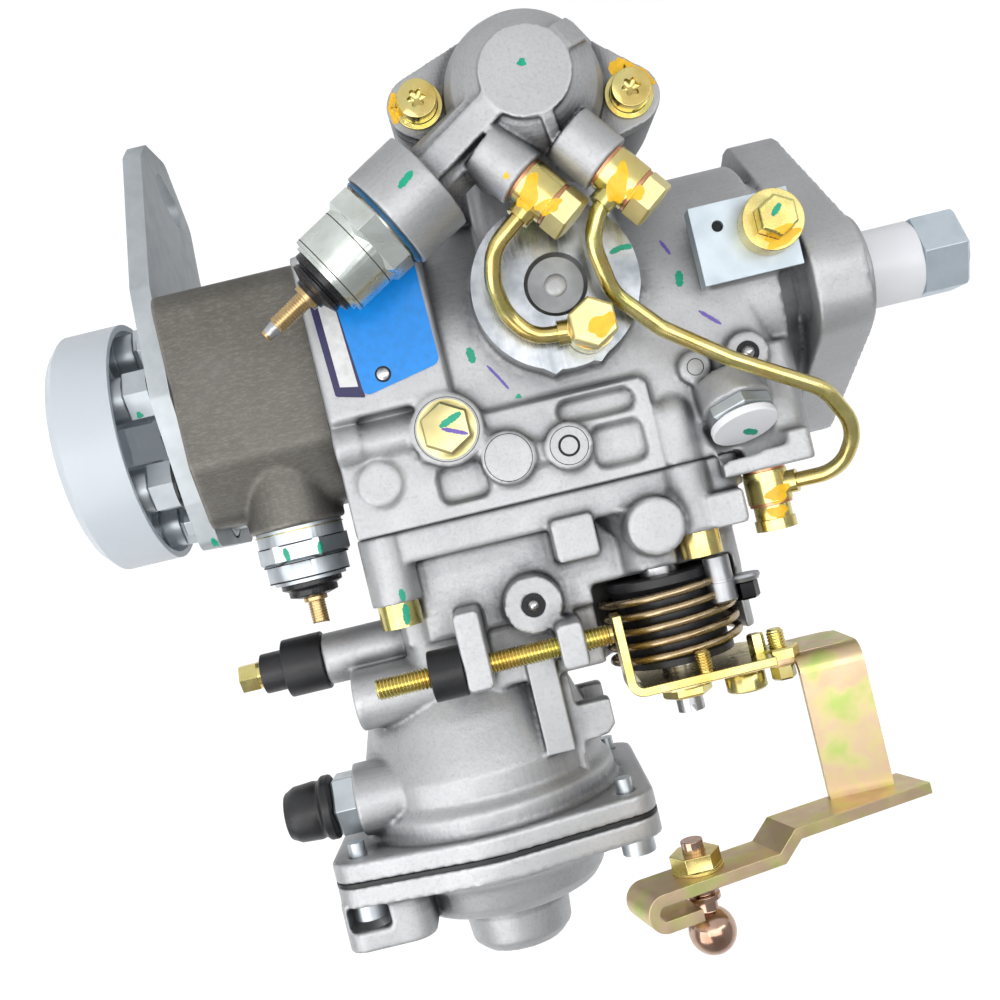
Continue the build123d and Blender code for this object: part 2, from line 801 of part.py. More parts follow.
# Valve holder: screwed shank, collar, hexagon and the drilled union end
def valve_holder():
    hex_start = holder_shank_length + 7.5
    end_start = hex_start + 8
    body = rod(holder_shank_radius, holder_shank_length)
    body += Pos(0, 0, holder_shank_length) * rod(holder_radius, 7.5)
    body += Pos(0, 0, hex_start) * hex_head(holder_across, 8)
    body += Pos(0, 0, end_start) * rod(union_end_radius, holder_length - 16)
    return body - Pos(0, 0, end_start + holder_length - 24) * rod(1.5, 9)


def delivery_valve_holders():
    start = head_end - holder_shank_length
    return [put(valve_holder(), (start, y, z), along_x, along_y) for y, z in outlet_places()]


def head_plug():
    plug = rod(7.0, 8) + Pos(0, 0, 8) * rod(9.0, 8) + Pos(0, 0, 16) * hex_head(14, 6)
    return put(plug, (head_end - 8, 0, 0), along_x, along_y)


def delivery_cap():
    length = cap_end - cap_start
    cap = turned((
        (cap_radius - cap_wall, 0), (cap_radius, 0), (cap_radius, length - 3), (cap_radius - 3, length),
        (0, length), (0, length - cap_wall), (cap_radius - 3 - cap_wall, length - cap_wall),
        (cap_radius - cap_wall, length - 4),
    ))
    cap = put(cap, (cap_start, 0, 0), along_x, along_y)
    inside = cap_end - cap_wall
    for y, z in outlet_places():
        cap += rod_x(7.4, cap_start + 6, cap_end - 1, y, z) - rod_x(5.7, cap_start + 5, inside, y, z)
    return cap


def bracket_bolts():
    grip = bracket_bolt_length
    bolt = rod(bracket_bolt_radius, grip) + Pos(0, 0, grip) * hex_head(8, 5)
    return [put(bolt, (bracket_end - grip, y, z), along_x, along_y) for y, z in bracket_bolt_places()]


# Wide lobe behind the near left screw, notched round the screw's head
def boost_lobe(seat):
    x, y = boost_ears()[0]
    outer = x + boost_ear_radius
    notch_height = 7.0
    span = (outer - boost_lobe_width, outer)
    lobe = block(span, (y - boost_ear_radius, y + 14), (seat - 1, seat + boost_lobe_rise), 6)
    room = boost_head_radius + 1.2
    notch = rod_z(room, seat - 2, seat + notch_height, x, y)
    notch += block((x - room, x + room), (y - 12, y), (seat - 2, seat + notch_height))
    notch += rod_z(boost_head_radius + free_gap, seat, seat + boost_lobe_rise + 1, x, y)
    return lobe, notch


def boost_cover():
    rim_top = boost_seat + boost_rim_thickness
    lobe, notch = boost_lobe(rim_top)
    body = put(turned((
        (0, boost_seat), (38, boost_seat), (36.5, boost_seat + 9), (33, boost_seat + 11),
        (30.5, boost_top - 3), (28, boost_top), (19, boost_top + 1), (17, boost_top + 3),
        (16, boost_nose_top - 3), (13, boost_nose_top), (0, boost_nose_top),
    )), (boost_x, 0, 0))
    body += lobe
    body -= notch
    body += put(extrude(rim_outline(), boost_rim_thickness), (0, 0, boost_seat))
    body -= put(turned((
        (0, boost_seat - 1), (31, boost_seat - 1), (30, boost_seat + 6), (26, boost_top - 4),
        (11, boost_top - 2), (10, boost_nose_top - 5), (0, boost_nose_top - 5),
    )), (boost_x, 0, 0))
    for x, y in boost_ears():
        body -= rod_z(boost_screw_radius + 2 * seal_gap, boost_seat - 1, rim_top + 1, x, y)
    return body


def boost_cover_screws():
    bottom = boost_seam - 10
    grip = boost_seat + boost_rim_thickness - bottom
    screw = rod(boost_screw_radius, grip) + Pos(0, 0, grip) * rod(boost_head_radius, 5.0)
    screw -= Pos(0, 0, grip + 2.5) * hexagon(4.5, 3)
    return [put(screw, (x, y, bottom)) for x, y in boost_ears()]


def boost_diaphragm():
    outer = put(extrude(rim_outline(), diaphragm_thickness), (0, 0, boost_seam))
    for x, y in boost_ears():
        outer -= rod_z(boost_screw_radius + 2 * seal_gap, boost_seam - 1, boost_seam + 2, x, y)
    outer -= rod_z(3.1, boost_seam - 1, boost_seam + 2, boost_x, 0)
    return outer


# Control pin with the two plates that grip the diaphragm and its tapered foot
def boost_pin():
    under = boost_seam - free_gap
    over = boost_seat + free_gap
    low = cover_top - 16
    return put(turned((
        (0, low), (3.2, low), (boost_pin_radius, low + 9), (boost_pin_radius, under - 3),
        (boost_plate_radius, under - 3), (boost_plate_radius, under), (3.0, under), (3.0, over),
        (13, over), (13, over + 2), (6, over + 2), (6, over + 10.5), (0, over + 10.5),
    )), (boost_x, 0, 0))


def boost_fitting():
    body = rod(4.9, 12) + Pos(0, 0, 12) * hex_head(17, 7) + Pos(0, 0, 19) * rod(5.5, 12)
    body -= Pos(0, 0, 20) * rod(3.0, 12)
    return put(body, (boost_port_x - 12, boost_port_y, boost_port_z), along_x, along_y)


# Rubber cap with its raised bead
def boost_fitting_cap():
    cap = turned((
        (5.6, 0), (8.2, 0), (9.7, 0.8), (9.7, 3.2), (8.4, 4.4), (8.8, 6), (8.4, 12), (6.8, 15), (0, 15),
        (0, 13), (5.6, 13),
    ))
    return put(cap, (boost_port_x + 7.2, boost_port_y, boost_port_z), along_x, along_y)


def along_arm(distance, y=arm_y):
    return (timer_x + arm_way[0] * distance, y, timer_z + arm_way[2] * distance)


def step_along(point, way, distance):
    return tuple(p + w * distance for p, w in zip(point, way))


# Flat bar on the dome, from its side outline of (distance, height) points
def dome_bar(way, outline, half_width):
    bar_plane = Plane(origin=(timer_x, -timer_face, timer_z), x_dir=way, z_dir=(way[2], 0, -way[0]))
    lift = bar_plane.to_local_coords(Vector(timer_x, -timer_face - 1, timer_z)).Y
    points = [(distance, height * lift) for distance, height in outline]
    return bar_plane * extrude(make_face(Polyline(*points, close=True)), half_width, both=True)


def dome_bars():
    top = dome_height
    edge = arm_boss[0] + 2
    back = tuple(-w for w in arm_way)
    web = ((0, 3), (0, top - 4), (10, top - 4), (edge, top - 8.5), (edge, 2))
    flat = ((0, 3), (0, top), (10, top), (edge, top - 5), (edge, 8))
    over = ((0, 3), (0, top), (13, top - 0.5), (18, top - 4.5), (21.3, top - 13), (21.3, 3))
    bars = [dome_bar(arm_way, web, 6.5), dome_bar(arm_way, flat, bar_half_width)]
    return bars + [dome_bar(back, over, bar_half_width), dome_bar(rib_way, over, rib_half_width)]


# Bosses that the banjo unions are screwed into
def union_bosses():
    bosses = []
    for eye in banjo_eyes:
        seat = step_along(eye, banjo_way, -banjo_seat_drop)
        centre = step_along(seat, banjo_way, -9)
        bosses.append(rod_between(8.0, step_along(seat, banjo_way, -13), seat))
        bosses.append(rod_between(7.0, (centre[0], -timer_face - 3, centre[2]), centre))
    return bosses


def timer_cover():
    face = timer_face
    circles = [(timer_x, timer_z, dome_radius)]
    for x, z in housing_ear_screws:
        circles.append((x, z, ear_boss_radius))
    body = on_side(-face) * extrude(band(circles), timer_flange)
    dome = turned((
        (0, 0), (dome_radius, 0), (dome_radius - 0.5, 10), (19, 15.5), (15.5, 19.5),
        (12.8, dome_height - 2.2), (disc_radius, dome_height - 2.2), (disc_radius, dome_height),
        (0, dome_height),
    ))
    body += put(dome, (timer_x, -face, timer_z), to_camera)
    body += dome_bars()
    body += rod_between(9.0, along_arm(6), along_arm(arm_boss[0] + 1))
    body += rod_between(arm_boss_radius, along_arm(arm_boss[0]), along_arm(arm_boss[1]))
    # Passage across the dome between the two unions
    body += rod_between(5.0, (92.0, -face - 15, -51.0), (75.6, -face - 15, -48.3))
    body += union_bosses()
    body -= rod_y(timer_bore_radius, -face - 9, -face + 1, timer_x, timer_z)
    shank_hole = solenoid_shank_radius + seal_gap
    body -= rod_between(shank_hole, along_arm(arm_boss[1] - 10), along_arm(arm_boss[1] + 1))
    for eye in banjo_eyes:
        seat = step_along(eye, banjo_way, -banjo_seat_drop)
        hole = rod(banjo_radius + seal_gap, 10)
        body -= put(hole, step_along(seat, banjo_way, -9), banjo_way)
    for x, z in housing_ear_screws:
        body -= rod_y(ear_screw_radius + 2 * seal_gap, -face - timer_flange - 1, -face + 1, x, z)
        body -= rod_y(7.0, -face - 30, -face - timer_flange, x, z)
    return body


def timer_end_cover():
    circles = [(timer_x, timer_z, timer_bore_radius + 4)]
    for x, z in end_cover_screws:
        circles.append((x, z, 8))
    far_side = Plane(origin=(0, timer_face, 0), x_dir=(-1, 0, 0), z_dir=along_y)
    body = far_side * extrude(mirror(band(circles), Plane.YZ), end_cover_thickness)
    cap = turned(((0, 5), (14, 5), (13, 9), (10, 11), (0, 11)))
    body += put(cap, (timer_x, timer_face, timer_z), along_y)
    for x, z in end_cover_screws:
        hole_end = timer_face + end_cover_thickness + 1
        body -= rod_y(ear_screw_radius + 2 * seal_gap, timer_face - 1, hole_end, x, z)
    return body


def timer_cover_screws():
    grip = ear_screw_grip
    flanged = rod(ear_screw_radius, grip) + Pos(0, 0, grip) * rod(6.6, 1.2) + Pos(0, 0, grip + 1.2) * rod(5.2, 5.5)
    flanged -= Pos(0, 0, grip + 3.7) * hexagon(5.0, 4)
    plain = rod(ear_screw_radius, grip) + Pos(0, 0, grip) * hex_head(10, 5)
    near_seat = -timer_face - timer_flange
    far_seat = timer_face + end_cover_thickness
    screws = [put(flanged, (x, near_seat + grip, z), to_camera) for x, z in housing_ear_screws]
    return screws + [put(plain, (x, far_seat - grip, z), along_y) for x, z in end_cover_screws]


def small_screws():
    return timer_cover_screws() + bracket_bolts()


def cold_start_solenoid():
    start = arm_boss[1] + 2
    body = rod_between(solenoid_shank_radius, along_arm(arm_boss[1] - 9), along_arm(start))
    body += put(hex_head(solenoid_across, 7), along_arm(start), arm_way, along_y)
    body += rod_between(solenoid_radius, along_arm(start + 6), along_arm(start + 19))
    body += rod_between(10.6, along_arm(start + 18), along_arm(arm_end))
    return body


def terminal_insulators():
    cold = put(turned((
        (0, 0), (9.5, 0), (9.5, 1.5), (7.5, 2.2), (8.2, 4.0), (4.5, 5.2), (4.5, 6.2), (0, 6.2),
    )), along_arm(arm_end), arm_way)
    stop = put(turned((
        (0, 0), (9.2, 0), (9.2, 1.6), (7.4, 2.4), (7.4, 4.2), (4.6, 5.0), (0, 5.0),
    )), (stop_x, stop_y, stop_top))
    cold -= rod_between(terminal_radius + seal_gap, along_arm(arm_end + 3), along_arm(arm_end + 9))
    stop -= rod_z(terminal_radius + seal_gap, stop_top + 2, stop_top + 8, stop_x, stop_y)
    return [cold, stop]


def terminal_studs():
    cold = rod(terminal_radius, 15) + Pos(0, 0, 3.2) * rod(3.8, 1.6)
    cold += Pos(0, 0, 15) * Cone(2.0, 1.6, 4, align=grow_up)
    stop = rod(terminal_radius, 11) + Pos(0, 0, 3) * rod(3.6, 1.4)
    return [put(cold, along_arm(arm_end + 3), arm_way), put(stop, (stop_x, stop_y, stop_top + 2))]


def stop_solenoid():
    shank = stop_shank_length
    body = rod(stop_shank_radius, shank) + Pos(0, 0, shank) * rod(13.0, 4.5)
    body += Pos(0, 0, shank + 4.5) * hex_head(24, 6)
    body += Pos(0, 0, shank + 10) * rod(12.2, 5.0) + Pos(0, 0, shank + 15) * rod(10.8, 1.5)
    return put(body, (stop_x, stop_y, stop_seat - shank))


# Rigid tube from one union eye to the other, with its bend radius at each corner
def bent_tube(points):
    radii = []
    for k in range(1, len(points) - 1):
        before = Vector(points[k]) - Vector(points[k - 1])
        after = Vector(points[k + 1]) - Vector(points[k])
        turn = math.radians(before.get_angle(after))
        reach = 0.45 * min(before.length, after.length) / math.tan(turn / 2)
        radii.append(min(reach, pipe_bend))
    path = FilletPolyline(*points, radius=radii)
    start = Vector(points[1]) - Vector(points[0])
    return sweep(Plane(origin=points[0], z_dir=tuple(start)) * Circle(pipe_radius), path)


def union_eye(centre, way):
    low = step_along(centre, way, -eye_height / 2)
    high = step_along(centre, way, eye_height / 2)
    hole = rod_between(4.6, step_along(low, way, -1), step_along(high, way, 1))
    return rod_between(eye_radius, low, high), hole


def union_pipe(points, first, first_way, last, last_way):
    eye_a, hole_a = union_eye(first, first_way)
    eye_b, hole_b = union_eye(last, last_way)
    route = (first,) + points + (last,)
    neck = pipe_radius + 1.1
    body = bent_tube(route) + eye_a + eye_b
    for centre, near in ((first, points[0]), (last, points[-1])):
        span = Vector(near) - Vector(centre)
        way = tuple(span.normalized())
        body += rod_between(neck, centre, step_along(centre, way, eye_radius + 2.5))
    return body - hole_a - hole_b


def timer_pipe():
    return union_pipe(timer_pipe_points, banjo_eyes[0], banjo_way, return_eye, to_camera)


def overflow_pipe():
    return union_pipe(overflow_pipe_points, banjo_eyes[1], banjo_way, overflow_eye, along_z)


def banjo_bolt(seat, way):
    shank = eye_height + 2 * washer_thickness
    bolt = Pos(0, 0, -8) * rod(banjo_radius, shank + 8) + Pos(0, 0, shank) * hex_head(banjo_across, 6)
    return put(bolt, seat, way)


def union_seats():
    seats = [(step_along(eye, banjo_way, -banjo_seat_drop), banjo_way) for eye in banjo_eyes]
    return seats + [((return_eye[0], ogive_face, return_eye[2]), to_camera)]


def banjo_bolts():
    return [banjo_bolt(seat, way) for seat, way in union_seats()]


def copper_washers():
    washers = []
    for seat, way in union_seats() + [((overflow_x, overflow_y, overflow_seat), along_z)]:
        for lift in (0.0, washer_thickness + eye_height):
            ring = tube(washer_radius, banjo_radius + seal_gap, washer_thickness)
            washers.append(put(ring, step_along(seat, way, lift), way))
    return washers


# Hollow screw with the spring loaded ball of the overflow valve in its head
def overflow_valve():
    shank = eye_height + 2 * washer_thickness
    valve = Pos(0, 0, -10) * rod(banjo_radius, shank + 10) + Pos(0, 0, shank) * rod(5.4, 4.0)
    valve += Pos(0, 0, shank + 4) * rod(6.0, 3.2)
    valve -= Pos(0, 0, shank + 4.0) * hexagon(6.0, 4)
    return put(valve, (overflow_x, overflow_y, overflow_seat))


def inlet_fitting():
    body = rod_between(5.0, step_along(inlet_seat, inlet_way, -inlet_shank_length), inlet_seat)
    body += put(hex_head(inlet_across, inlet_hex_height), inlet_seat, inlet_way)
    bore = step_along(inlet_seat, inlet_way, inlet_hex_height - 5)
    return body - rod_between(4.3, bore, step_along(bore, inlet_way, 8))


# Push-in transport cap: a disc and the skirt that goes into the fitting's bore
def inlet_cap():
    disc = Pos(0, 0, inlet_hex_height + free_gap) * rod(9.6, 2.4)
    skirt = Pos(0, 0, inlet_hex_height - 4) * rod(4.2, 5)
    return put(disc + skirt, inlet_seat, inlet_way)


def access_plug():
    plug = Pos(0, 0, -12) * rod(6.0, 12.0) + rod(8.4, 1.2) + Pos(0, 0, 1.2) * hex_head(plug_across, 5.5)
    return put(plug, (plug_x, plug_face, plug_z), to_camera)


def full_load_screw():
    start = cover_body[1] - 12
    body = rod_x(full_load_radius, start, full_load_end, full_load_y, full_load_z)
    tip = hexagon(2 * full_load_radius, 5.5)
    return body + put(tip, (full_load_end - 1.5, full_load_y, full_load_z), along_x, along_y)


# Tamper rings over the locknuts of the two stop screws
def tamper_collars():
    bore = full_load_radius + 0.05
    full = put(tube(9.0, bore, 12.5), (full_load_boss_end + 0.05, full_load_y, full_load_z), along_x)
    full += put(tube(6.2, bore, 8.0), (full_load_boss_end + 12, full_load_y, full_load_z), along_x)
    speed = tube(7.3, speed_screw_radius + 0.05, 9.5)
    return [full, put(speed, (speed_lugs[0][1] + 0.05, speed_screw_y, speed_screw_z), along_x)]


def speed_adjusting_screw():
    return rod_x(speed_screw_radius, speed_screw[0], speed_screw[1], speed_screw_y, speed_screw_z)


def stop_screws():
    return [full_load_screw(), speed_adjusting_screw()]


def shaft_seal():
    seal = tube(seal_radius, shaft_radius + running_fit, seal_width)
    return put(seal, (nose_end + 0.5, 0, 0), along_x)


def shaft_bushes():
    starts = (nose_end + seal_width + 2.0, bore_start - bush_width)
    bush = tube(bush_radius, shaft_radius + running_fit, bush_width)
    return [put(bush, (x, 0, 0), along_x) for x in starts]


def supply_pump_ring():
    ring = rod_x(pump_ring_radius, bore_start, bore_start + pump_width)
    return ring - rod_x(pump_chamber_radius, bore_start - 1, bore_start + pump_width + 1, 0, pump_offset)


def supply_pump_plate():
    start = bore_start + pump_width
    plate = rod_x(pump_ring_radius, start, start + plate_thickness) - rod_x(13.0, start - 1, start + 5)
    return plate


def rotor_slots():
    low, high = rotor_radius - 9, rotor_radius + 1
    half = vane_width / 2 + seat_gap
    slots = []
    for k in range(vane_count):
        slot = block((low, high), (-half, half), (-1, pump_width + 1))
        slots.append(Rot(0, 0, 360 / vane_count * k) * slot)
    return slots


def supply_pump_rotor():
    rotor = rod(rotor_radius, pump_width - 0.6) - rod(shaft_radius + press_gap, pump_width)
    rotor -= rotor_slots()
    return put(rotor, (bore_start + 0.3, 0, 0), along_x, along_y)


def supply_pump_vanes():
    reach = pump_chamber_radius - pump_offset - running_fit * 3
    half = vane_width / 2
    vane = block((rotor_radius - 8.6, reach), (-half, half), (0, pump_width - 0.6), 1.0)
    vanes = []
    for k in range(vane_count):
        turned_vane = Rot(0, 0, 360 / vane_count * k) * vane
        vanes.append(put(turned_vane, (bore_start + 0.3, 0, 0), along_x, along_y))
    return vanes


# Involute gear blank with straight facets along each flank
def gear(teeth, width, bore, turn):
    pitch = gear_module * teeth / 2
    base = pitch * math.cos(math.radians(pressure_angle))
    root = pitch - 1.25 * gear_module
    tip = pitch + gear_module
    pitch_roll = math.tan(math.radians(pressure_angle)) - math.radians(pressure_angle)
    half_tooth = math.pi / 2 / teeth - backlash / 2 / pitch
    flank = []
    for share in (0.0, 0.5, 1.0):
        radius = max(base, root) + (tip - max(base, root)) * share
        angle = math.acos(base / radius)
        flank.append((radius, half_tooth + pitch_roll - (math.tan(angle) - angle)))
    points = []
    for k in range(teeth):
        centre = 2 * math.pi * k / teeth + math.radians(turn)
        shape = [(root, -flank[0][1])] + [(r, -a) for r, a in flank] + [(r, a) for r, a in reversed(flank)]
        shape += [(root, flank[0][1])]
        points += [(r * math.cos(centre + a), r * math.sin(centre + a)) for r, a in shape]
    return extrude(make_face(Polyline(*points, close=True)), width) - rod(bore, width)


def drive_gear():
    wheel = gear(drive_teeth, gear_width, shaft_radius + press_gap, 0)
    return put(wheel, (gear_start, 0, 0), along_x, along_z)


# A tooth gap of this gear faces the drive gear, whose tooth points straight up
def flyweight_cage():
    wheel = gear(governor_teeth, gear_width, governor_pin_radius + running_fit, 180 / governor_teeth)
    hub = tube(cage_radius - 7, governor_pin_radius + running_fit, cage_length)
    rim = tube(cage_radius, governor_pin_radius + running_fit, 3)
    shell = tube(cage_radius, cage_radius - 2, cage_length - 3) - weight_windows(0.0)
    cage = hub + rim + Pos(0, 0, 3) * shell
    return put(wheel + Pos(0, 0, gear_width) * cage, (gear_start, 0, governor_z), along_x, along_z)


def weight_windows(gap):
    half = 6.0 - gap
    deep = (cage_radius - 6.6 + gap, cage_radius + 1)
    windows = []
    for k in range(weight_count):
        window = block(deep, (-half, half), (gap, cage_length - 2.5 - gap))
        windows.append(Rot(0, 0, 45 + 360 / weight_count * k) * window)
    return windows


def flyweights():
    weights = []
    for k in range(weight_count):
        weight = block((cage_radius - 6.4, cage_radius - 0.3), (-5.6, 5.6), (0.4, cage_length - 4.0), 1.5)
        weight -= block((cage_radius - 7, cage_radius - 3.5), (-6, 6), (4, cage_length - 7))
        turned_weight = Rot(0, 0, 45 + 360 / weight_count * k) * weight
        weights.append(put(turned_weight, (cage_start + 3.0, 0, governor_z), along_x, along_z))
    return weights


def governor_sleeve():
    start = cage_start + cage_length + free_gap
    sleeve = turned((
        (governor_pin_radius + running_fit, 0), (6.6, 0), (6.6, 5), (5.6, 8), (5.6, 14),
        (4.6, 17), (governor_pin_radius + running_fit, 17),
    ))
    return put(sleeve, (start, 0, governor_z), along_x)


def governor_shaft():
    return rod_x(governor_pin_radius, gear_start - 12, cage_start + cage_length + 26, 0, governor_z)


def drive_shaft():
    end = gear_start + gear_width + 2
    tang_end = cam_start - 1.0
    body = put(turned((
        (0, shaft_tip), (thread_radius - 1, shaft_tip), (thread_radius, shaft_tip + 1),
        (thread_radius, taper_end), (shaft_tip_radius, taper_end), (shaft_radius, nose_end),
        (shaft_radius, end), (8.0, end), (8.0, end + 14), (0, end + 14),
    )), (0, 0, 0), along_x)
    return body + block((end + 12, tang_end), (-tang_width / 2, tang_width / 2), (-tang_half, tang_half), 1)


def shaft_nut():
    nut = hex_head(nut_across, nut_height) - rod(thread_radius, nut_height)
    return put(nut, (taper_end - 0.5, 0, 0), (-1, 0, 0), along_y)


def shaft_sleeve():
    length = taper_length - 0.7
    return put(tube(sleeve_radius, shaft_radius + seat_gap, length), (taper_end - 0.5, 0, 0), along_x)


def roller_ring():
    start = ring_centre - ring_width / 2
    ring = rod_x(ring_radius, start, start + ring_width)
    ring -= rod_x(ring_bore_radius, start - 1, start + ring_width + 1)
    half = roller_length / 2 + 0.5
    room = roller_radius + free_gap
    for angle in roller_angles:
        pocket = block((-half, half), (-room, room), (-room, 7))
        y, z = polar(roller_track, angle)
        ring -= Plane(origin=(start + ring_width, y, z), x_dir=(0, y, z), z_dir=along_x) * pocket
    pin = rod_z(timer_pin_radius, timer_z - 1, -ring_radius + 4, ring_centre, 0)
    return ring + pin


def rollers():
    pieces = []
    for angle in roller_angles:
        y, z = polar(roller_track - roller_length / 2, angle)
        roller = rod(roller_radius, roller_length)
        pieces.append(put(roller, (ring_centre + ring_width / 2, y, z), (0, *polar(1, angle))))
    return pieces


# Cam plate with one rounded lobe for each outlet, and the slot for the shaft's tang
def cam_plate():
    plate = rod(cam_radius, cam_thickness)
    ring = tube(cam_radius, 14.5, cam_thickness + 12)
    for k in range(lobe_count):
        angle = 360 / lobe_count * (k + 0.5)
        wedge = put(rod(16, cam_radius - 13), (*polar(14, angle), 16 - cam_lift), (*polar(1, angle), 0))
        plate += wedge & ring & Pos(0, 0, -cam_lift) * rod(30, cam_lift + 1)
    plate += Pos(0, 0, -6) * rod(11, 6)
    slot = tang_width / 2 + free_gap
    plate -= block((-tang_half - free_gap, tang_half + free_gap), (-slot, slot), (-7, 2))
    return put(plate, (cam_start, 0, 0), along_x, along_z)


def plunger():
    return rod_x(plunger_radius, cam_start + cam_thickness, head_end - 18)


def timer_piston():
    half = piston_length / 2
    piston = rod_y(timer_bore_radius - running_fit, -half, half, timer_x, timer_z)
    piston -= rod_z(timer_pin_radius + 2.5, timer_z - 6, timer_z + 20, ring_centre, 0)
    return piston - rod_y(8.0, half - 12, half + 1, timer_x, timer_z)


def shaft_lock_plate():
    back = lock_face - lock_sheet
    rim = lock_face + lock_rim_height
    low, high = lock_plate_z
    start, end = lock_plate_x
    plate = block(lock_plate_x, (back, lock_face), lock_plate_z)
    plate += block(lock_plate_x, (back, rim), (low, low + lock_sheet))
    plate += block((end - lock_sheet, end), (back, rim), lock_plate_z)
    plate -= rod_y(lock_bolt_radius + 2 * seal_gap, back - 1, lock_face + 1, lock_x, lock_z)
    return plate - rod_y(1.6, back - 1, lock_face + 1, end - 7, (low + high) / 2 - 4.5)


def shaft_lock_bolt():
    bolt = Pos(0, 0, -10) * rod(lock_bolt_radius, 10) + rod(8.5, 5.5) + Pos(0, 0, 5.5) * rod(8.5, 1.6)
    bolt += Pos(0, 0, 7.1) * hex_head(10, 6)
    return put(bolt, (lock_x, lock_face - lock_sheet, lock_z), to_camera)


def throttle_shaft():
    top = lever_seat + 3 * lever_sheet + 6.5
    shaft = rod_z(throttle_radius, flange_top + 2, lever_seat, throttle_x, throttle_y)
    shaft += rod_z(throttle_neck_radius, lever_seat, top, throttle_x, throttle_y)
    shaft -= block((throttle_x - 0.7, throttle_x + 0.7), (throttle_y - 5, throttle_y + 5), (top - 2, top + 1))
    return shaft


def throttle_boot():
    bore = throttle_radius + 0.3
    return put(turned((
        (bore, 0), (16.5, 0), (16.5, 2.5), (15.5, 4), (15.5, 22.5), (16.5, 23.5), (16.5, 25.5), (bore, 25.5),
    )), (throttle_x, throttle_y, spring_bottom - 1.5))


# Open wound return spring round the boot, with flat facets along its turns
def throttle_spring():
    steps = 12
    points = []
    for k in range(int((spring_turns - 0.3) * steps) + 1):
        x, y = polar(spring_radius, 360 / steps * k)
        points.append((x, y, spring_pitch * k / steps))
    path = Polyline(*points)
    start = Plane(origin=path @ 0, z_dir=path % 0)
    coil = sweep(start * RegularPolygon(spring_wire * 1.1, 6), path, transition=Transition.RIGHT)
    return put(coil, (throttle_x, throttle_y, spring_bottom))


# Sheet bent once: a strip from its side outline, rounded inside and outside the bend
def bent_strip(plane, corner, ends, width, inner_radius):
    first, last = ends
    centre_line = FilletPolyline(first, corner, last, radius=inner_radius + lever_sheet / 2)
    return plane * extrude(trace(centre_line, lever_sheet), width)


# Bent bracket clamped on the lever shaft, whose tab meets the speed screw
def throttle_bracket():
    low = lever_seat
    mid = low + lever_sheet / 2
    face = bracket_tab_face - lever_sheet / 2
    strip = bent_strip(on_side(bracket_near + 11), (face, mid), ((50.0, mid), (face, low - 21.0)), 11.0, 2.0)
    flat = (50.0, bracket_tab_face - bend_radius)
    body = strip + block(flat, (bracket_near, -14.0), (low, low + lever_sheet), 4)
    body -= rod_z(throttle_neck_radius + press_gap, low - 1, low + 4, throttle_x, throttle_y)
    body -= rod_z(clamp_radius + seal_gap, low - 1, low + 4, clamp_x, clamp_y)
    return body


def throttle_arm():
    low = lever_seat + lever_sheet
    mid = low + lever_sheet / 2
    near = riser_y + lever_sheet / 2
    width = riser_x[1] - riser_x[0]
    ends = ((-18.0, mid), (near, lever_arm_height))
    strip = bent_strip(across_shaft(riser_x[0]), (near, mid), ends, width, 3.0)
    body = strip + block((riser_x[0], 84.0), (riser_y + bend_radius, -16.0), (low, low + lever_sheet), 5)
    body -= rod_z(throttle_neck_radius + press_gap, low - 1, low + 4, throttle_x, throttle_y)
    body -= rod_z(clamp_radius + seal_gap, low - 1, low + 4, clamp_x, clamp_y)
    return body


# Flat arm set over the riser, with a joggle and the folded end beyond the ball stud
def lever_arm():
    start = Vector(*lever_arm_start)
    end = Vector(*lever_arm_end)
    way = (end - start).normalized()
    length = (end - start).length
    half = lever_arm_sheet / 2
    mid = length * 0.5
    bend = (fold_gap + lever_arm_sheet) / 2
    level = lever_step + half
    run = Polyline((-8, half), (mid - 6, half), (mid, level), (length - bend - half, level))
    turn = ThreePointArc(run @ 1, (length - half, level + bend), (length - bend - half, level + 2 * bend))
    back = Line(turn @ 1, (length - fold_return, level + 2 * bend))
    side = trace(run + turn + back, lever_arm_sheet)
    corner = (start.X, start.Y, lever_arm_height)
    plane = Plane(origin=corner, x_dir=(way.X, way.Y, 0), z_dir=(way.Y, -way.X, 0))
    body = plane * extrude(side, lever_arm_half_width, both=True)
    return body - rod_z(stud_radius + 0.05, lever_arm_height - 1, ball_height, ball_x, ball_y)


def ball_stud():
    arm_top = lever_arm_height + lever_step + lever_arm_sheet
    stud = rod_z(stud_radius, lever_arm_height - 3, ball_height, ball_x, ball_y)
    stud += put(tube(5.5, 1.0, 1.8), (ball_x, ball_y, arm_top))
    stud += put(tube(4.4, 1.0, 1.6), (ball_x, ball_y, arm_top + 3.6))
    stud += Pos(ball_x, ball_y, ball_height) * Sphere(ball_radius)
    return stud


def throttle_nuts():
    top = lever_seat + 2 * lever_sheet
    shaft_nut_hex = hex_head(13, 4.5) - rod(throttle_neck_radius, 5)
    clamp = rod(clamp_radius, 2 * lever_sheet) + Pos(0, 0, 2 * lever_sheet) * hex_head(10, 4)
    stud_nut = Pos(0, 0, -4.8) * hexagon(12, 4.0) + Pos(0, 0, -0.9) * rod(7.2, 0.9)
    stud_nut -= Pos(0, 0, -6) * rod(stud_radius, 7)
    return [
        put(shaft_nut_hex, (throttle_x, throttle_y, top)),
        put(clamp, (clamp_x, clamp_y, lever_seat)),
        put(stud_nut, (ball_x, ball_y, lever_arm_height + lever_step)),
    ]


